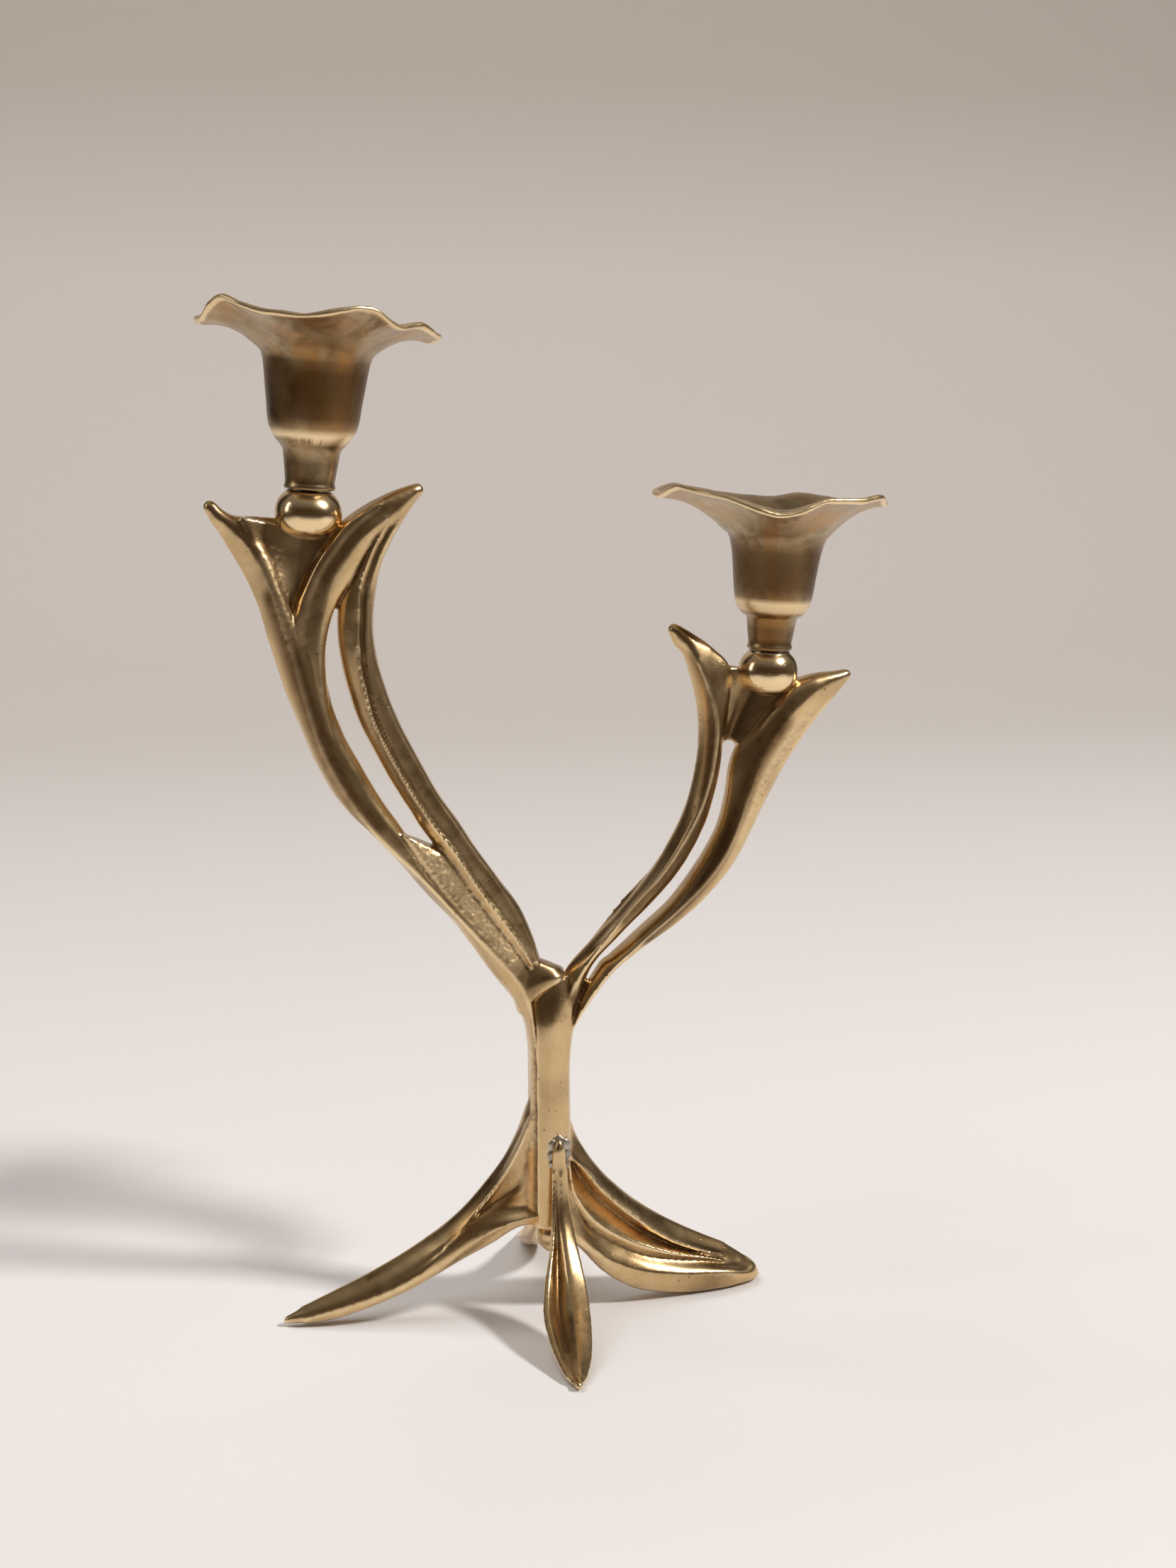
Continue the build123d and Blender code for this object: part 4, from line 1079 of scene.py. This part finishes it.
class CANDELABRA_OT_right_branch(bpy.types.Operator):
    """Short arm with its slotted stem, most of the trunk and the right leg"""

    bl_idname = "candelabra.right_branch"
    bl_label = "Short branch"

    def execute(self, context):
        sizes, finish = context.scene.candelabra_sizes, context.scene.candelabra_finish
        bodies = [(TRUNK_BODY, False, dict(tip=0.5)), (SHORT_LEFT_STEM, True, dict(root=0.6)),
                  (SHORT_RIGHT_STEM, True, dict(root=0.6)), (SHORT_CALYX, False, dict(tip=1.0)),
                  (RIGHT_LEG, False, dict(tip=0.05, fade=0.5))]
        obj = casting("right_branch", bodies, SHORT_TIPS, sizes.grain, 23)
        brass = aged_brass("short_branch_brass", finish.bright, finish.body, finish.patina, 0.6, 0.22,
                           painted_warm_reflection=finish.painted_warm_reflection)
        place(obj, "right_branch", ROOT, brass)
        return {"FINISHED"}


def rear_lines():
    """The rear foot is the front foot's casting turned to face backwards, slimmer and a little longer."""
    slimmer, longer = 0.95, 1.045

    def behind(u, v, z):
        drift = 0.06 * max(0, -v - 14)
        return -(u + drift) * slimmer - 0.012 * v, -v * longer + 0.3, z

    return [(depth, [behind(*point) for point in points]) for depth, points in FOOT_LEAF]


class CANDELABRA_OT_feet(bpy.types.Operator):
    """Front and rear leaf feet, soldered to the trunk"""

    bl_idname = "candelabra.feet"
    bl_label = "Leaf feet"

    def execute(self, context):
        sizes, finish = context.scene.candelabra_sizes, context.scene.candelabra_finish
        brass = aged_brass("foot_leaf_brass", finish.bright, finish.body, finish.patina, 0.5, 0.22,
                           painted_warm_reflection=finish.painted_warm_reflection)
        for name, lines, tips, seed in (("front_foot", FOOT_LEAF, FRONT_TIPS, 31),
                                        ("rear_foot", rear_lines(), REAR_TIPS, 37)):
            obj = casting(name, [(lines, False, {})], tips, sizes.small_grain, seed)
            place(obj, name, ROOT, brass)
        return {"FINISHED"}


class CANDELABRA_OT_solder(bpy.types.Operator):
    """Silver solder round the heads of the two leaf feet"""

    bl_idname = "candelabra.solder"
    bl_label = "Solder"

    def execute(self, context):
        metal = silver_solder()
        for name, facing, seed in (("front_solder", -1, 41), ("rear_solder", 1, 43)):
            obj = solder_bead(name + "_bead", facing, seed)
            place(obj, name, ROOT, metal)
        return {"FINISHED"}


class CANDELABRA_OT_buds(bpy.types.Operator):
    """Polished buds in the forks of the two arms"""

    bl_idname = "candelabra.buds"
    bl_label = "Buds"

    def execute(self, context):
        finish = context.scene.candelabra_finish
        brass = aged_brass("bud_polished_brass", finish.bright, finish.bright, finish.patina, 0.1, 0.14,
                           speckle=0.5)
        for side, seed in (("left", 51), ("right", 57)):
            place(bud_ball(side, seed), side + "_bud", ROOT, brass)
        return {"FINISHED"}


class CANDELABRA_OT_studs(bpy.types.Operator):
    """Threaded studs that the flower cups screw onto"""

    bl_idname = "candelabra.studs"
    bl_label = "Studs"

    def execute(self, context):
        metal = stud_steel()
        for side in ("left", "right"):
            place(threaded_stud(side), side + "_cup_stud", side + "_stud_rise", metal)
        return {"FINISHED"}


class CANDELABRA_OT_cups(bpy.types.Operator):
    """Trumpet flower cups that hold the candles"""

    bl_idname = "candelabra.cups"
    bl_label = "Flower cups"

    def execute(self, context):
        finish = context.scene.candelabra_finish
        brass = aged_brass("flower_cup_brass", finish.bright, finish.cup_patina, finish.patina, 0.6, 0.27,
                           speckle=0.5, streaks_and_painted_sheen=(0.34, 0.17, 0.05))
        for side in ("left", "right"):
            place(flower_cup(side), side + "_cup", side + "_flower", brass)
        return {"FINISHED"}


class CANDELABRA_OT_screw(bpy.types.Operator):
    """Domed screw under the trunk"""

    bl_idname = "candelabra.screw"
    bl_label = "Base screw"

    def execute(self, context):
        finish = context.scene.candelabra_finish
        brass = aged_brass("screw_brass", finish.bright, finish.body, finish.patina, 0.3, 0.2)
        place(screw_under_trunk(), "base_screw", ROOT, brass)
        return {"FINISHED"}


# ---------------------------------------------------------------- studio, in metres

HALF_WIDTH, FRONT_EDGE, WALL_BACK, WALL_TOP, SWEEP_BEND = 3.4, -3.2, 1.75, 3.2, 0.65
FLOOR_STEPS, BEND_STEPS, WALL_STEPS, CROSS_STEPS = 24, 18, 8, 20
# Name, place, what it faces, size, watts, colour and whether polished metal shows it.
LIGHTS = (
    ("key_softbox", (1.81, -1.07, 2.14), (0, 0, 0.1), (0.36, 0.36), 66, (1.0, 0.97, 0.94), True),
    ("overhead_fill", (-0.9, 0.1, 2.2), (-0.1, 0, 0), (2.2, 1.6), 22, (1.0, 0.985, 0.975), False),
    ("back_wash", (-0.1, 0.7, 1.9), (-0.1, 1.7, 0.6), (1.8, 0.5), 5, (1.0, 0.965, 0.93), False),
    ("left_strip", (-1.5, -0.1, 0.8), (0, 0, 0.2), (0.2, 0.9), 2, (1.0, 0.97, 0.94), True),
)
ROOM_IN_FRONT, ROOM_BEHIND, ROOM_ABOVE = (0.05, 0.03, 0.017), (0.16, 0.14, 0.12), (0.24, 0.22, 0.20)
CAMERA_PLACE = (-0.1352, -0.7530, 0.3239)  # from the foot of the trunk's axis
CAMERA_LOOK = (0.1874, 0.9639, -0.1892)
LENS, SENSOR = 56.25, 36.0  # both in millimetres


def facing(direction):
    return Vector(direction).to_track_quat("-Z", "Y")


def area_light(name, place_at, aim, size, power, colour, mirrored):
    data = bpy.data.lights.new(name, "AREA")
    data.shape = "RECTANGLE"
    data.size, data.size_y = size
    data.energy = power
    data.color = colour
    obj = bpy.data.objects.new(name, data)
    obj.location = place_at
    obj.rotation_mode = "QUATERNION"
    obj.rotation_quaternion = facing(Vector(aim) - Vector(place_at))
    obj.visible_glossy = mirrored
    bpy.context.scene.collection.objects.link(obj)


def paper_sweep(finish):
    """One sheet of paper: the table top, a round bend and the backdrop."""
    bend_front = WALL_BACK - SWEEP_BEND
    floor = bend_front - FRONT_EDGE
    profile = [(FRONT_EDGE + floor * i / FLOOR_STEPS, 0.0) for i in range(FLOOR_STEPS + 1)]
    for i in range(1, BEND_STEPS + 1):
        angle = math.pi / 2 * i / BEND_STEPS
        profile.append((bend_front + SWEEP_BEND * math.sin(angle), SWEEP_BEND * (1 - math.cos(angle))))
    for i in range(1, WALL_STEPS + 1):
        profile.append((WALL_BACK, SWEEP_BEND + (WALL_TOP - SWEEP_BEND) * i / WALL_STEPS))
    across = [HALF_WIDTH * (2 * k / CROSS_STEPS - 1) for k in range(CROSS_STEPS + 1)]
    bm = bmesh.new()
    rows = [[bm.verts.new((x, y, z)) for x in across] for y, z in profile]
    for low, high in zip(rows, rows[1:]):
        for k in range(CROSS_STEPS):
            bm.faces.new((low[k], low[k + 1], high[k + 1], high[k]))
    sweep = new_object("paper_sweep", bm)
    smooth_faces(sweep.data)
    sweep.data.materials.append(studio_paper(finish.paper, finish.backdrop))


def dim_room(scene):
    """A dark room round the set, paler overhead, for the metal to reflect."""
    world = bpy.data.worlds.new("dim_room")
    scene.world = world
    world.use_nodes = True
    tree = world.node_tree
    background = next(n for n in tree.nodes if n.type == "BACKGROUND")
    where = node(tree, "ShaderNodeTexCoord").outputs["Generated"]
    parts = node(tree, "ShaderNodeSeparateXYZ", {0: where})
    ahead = mapped(tree, parts.outputs[1], -0.6, 0.6)
    above = mapped(tree, parts.outputs[2], 0.35, 0.95)
    tone = mixed(tree, ahead, rgba(ROOM_IN_FRONT), rgba(ROOM_BEHIND))
    tone = mixed(tree, above, tone, rgba(ROOM_ABOVE))
    tree.links.new(tone, background.inputs[0])
    background.inputs[1].default_value = 1.0


def view_camera(scene):
    """The camera, level with the tall cup and looking a little down."""
    lens = bpy.data.cameras.new("view")
    lens.lens, lens.sensor_width = LENS, SENSOR
    lens.clip_start, lens.clip_end = 0.02, 30
    camera = bpy.data.objects.new("view", lens)
    camera.location = Vector(CAMERA_PLACE) + TRUNK
    camera.rotation_mode = "QUATERNION"
    camera.rotation_quaternion = facing(CAMERA_LOOK)
    scene.collection.objects.link(camera)
    scene.camera = camera


class CANDELABRA_OT_stage(bpy.types.Operator):
    """Pale sweep of paper, soft lights and the camera"""

    bl_idname = "candelabra.stage"
    bl_label = "Stage"

    def execute(self, context):
        paper_sweep(context.scene.candelabra_finish)
        for light in LIGHTS:
            area_light(*light)
        dim_room(context.scene)
        view_camera(context.scene)
        context.scene.view_settings.view_transform = "Standard"
        return {"FINISHED"}


class CANDELABRA_PT_panel(bpy.types.Panel):
    """Lists the settings and the steps that build the candelabra"""

    bl_idname = "CANDELABRA_PT_panel"
    bl_label = "Candelabra"
    bl_space_type = "VIEW_3D"
    bl_region_type = "UI"
    bl_category = "Candelabra"

    def draw(self, context):
        for group in (context.scene.candelabra_sizes, context.scene.candelabra_finish):
            for name in group.__annotations__:
                self.layout.prop(group, name)
        for step in STEPS:
            self.layout.operator(step.bl_idname)


STEPS = (
    CANDELABRA_OT_left_branch,
    CANDELABRA_OT_right_branch,
    CANDELABRA_OT_feet,
    CANDELABRA_OT_solder,
    CANDELABRA_OT_buds,
    CANDELABRA_OT_studs,
    CANDELABRA_OT_cups,
    CANDELABRA_OT_screw,
    CANDELABRA_OT_stage,
)
CLASSES = (CastingSettings, FinishSettings, *STEPS, CANDELABRA_PT_panel)


def register():
    for made in CLASSES:
        bpy.utils.register_class(made)
    bpy.types.Scene.candelabra_sizes = bpy.props.PointerProperty(type=CastingSettings)
    bpy.types.Scene.candelabra_finish = bpy.props.PointerProperty(type=FinishSettings)


def unregister():
    del bpy.types.Scene.candelabra_finish
    del bpy.types.Scene.candelabra_sizes
    for made in reversed(CLASSES):
        bpy.utils.unregister_class(made)


def main():
    register()
    bpy.ops.candelabra.left_branch()
    bpy.ops.candelabra.right_branch()
    bpy.ops.candelabra.feet()
    bpy.ops.candelabra.solder()
    bpy.ops.candelabra.buds()
    bpy.ops.candelabra.studs()
    bpy.ops.candelabra.cups()
    bpy.ops.candelabra.screw()
    bpy.ops.candelabra.stage()


if __name__ == "__main__":
    main()
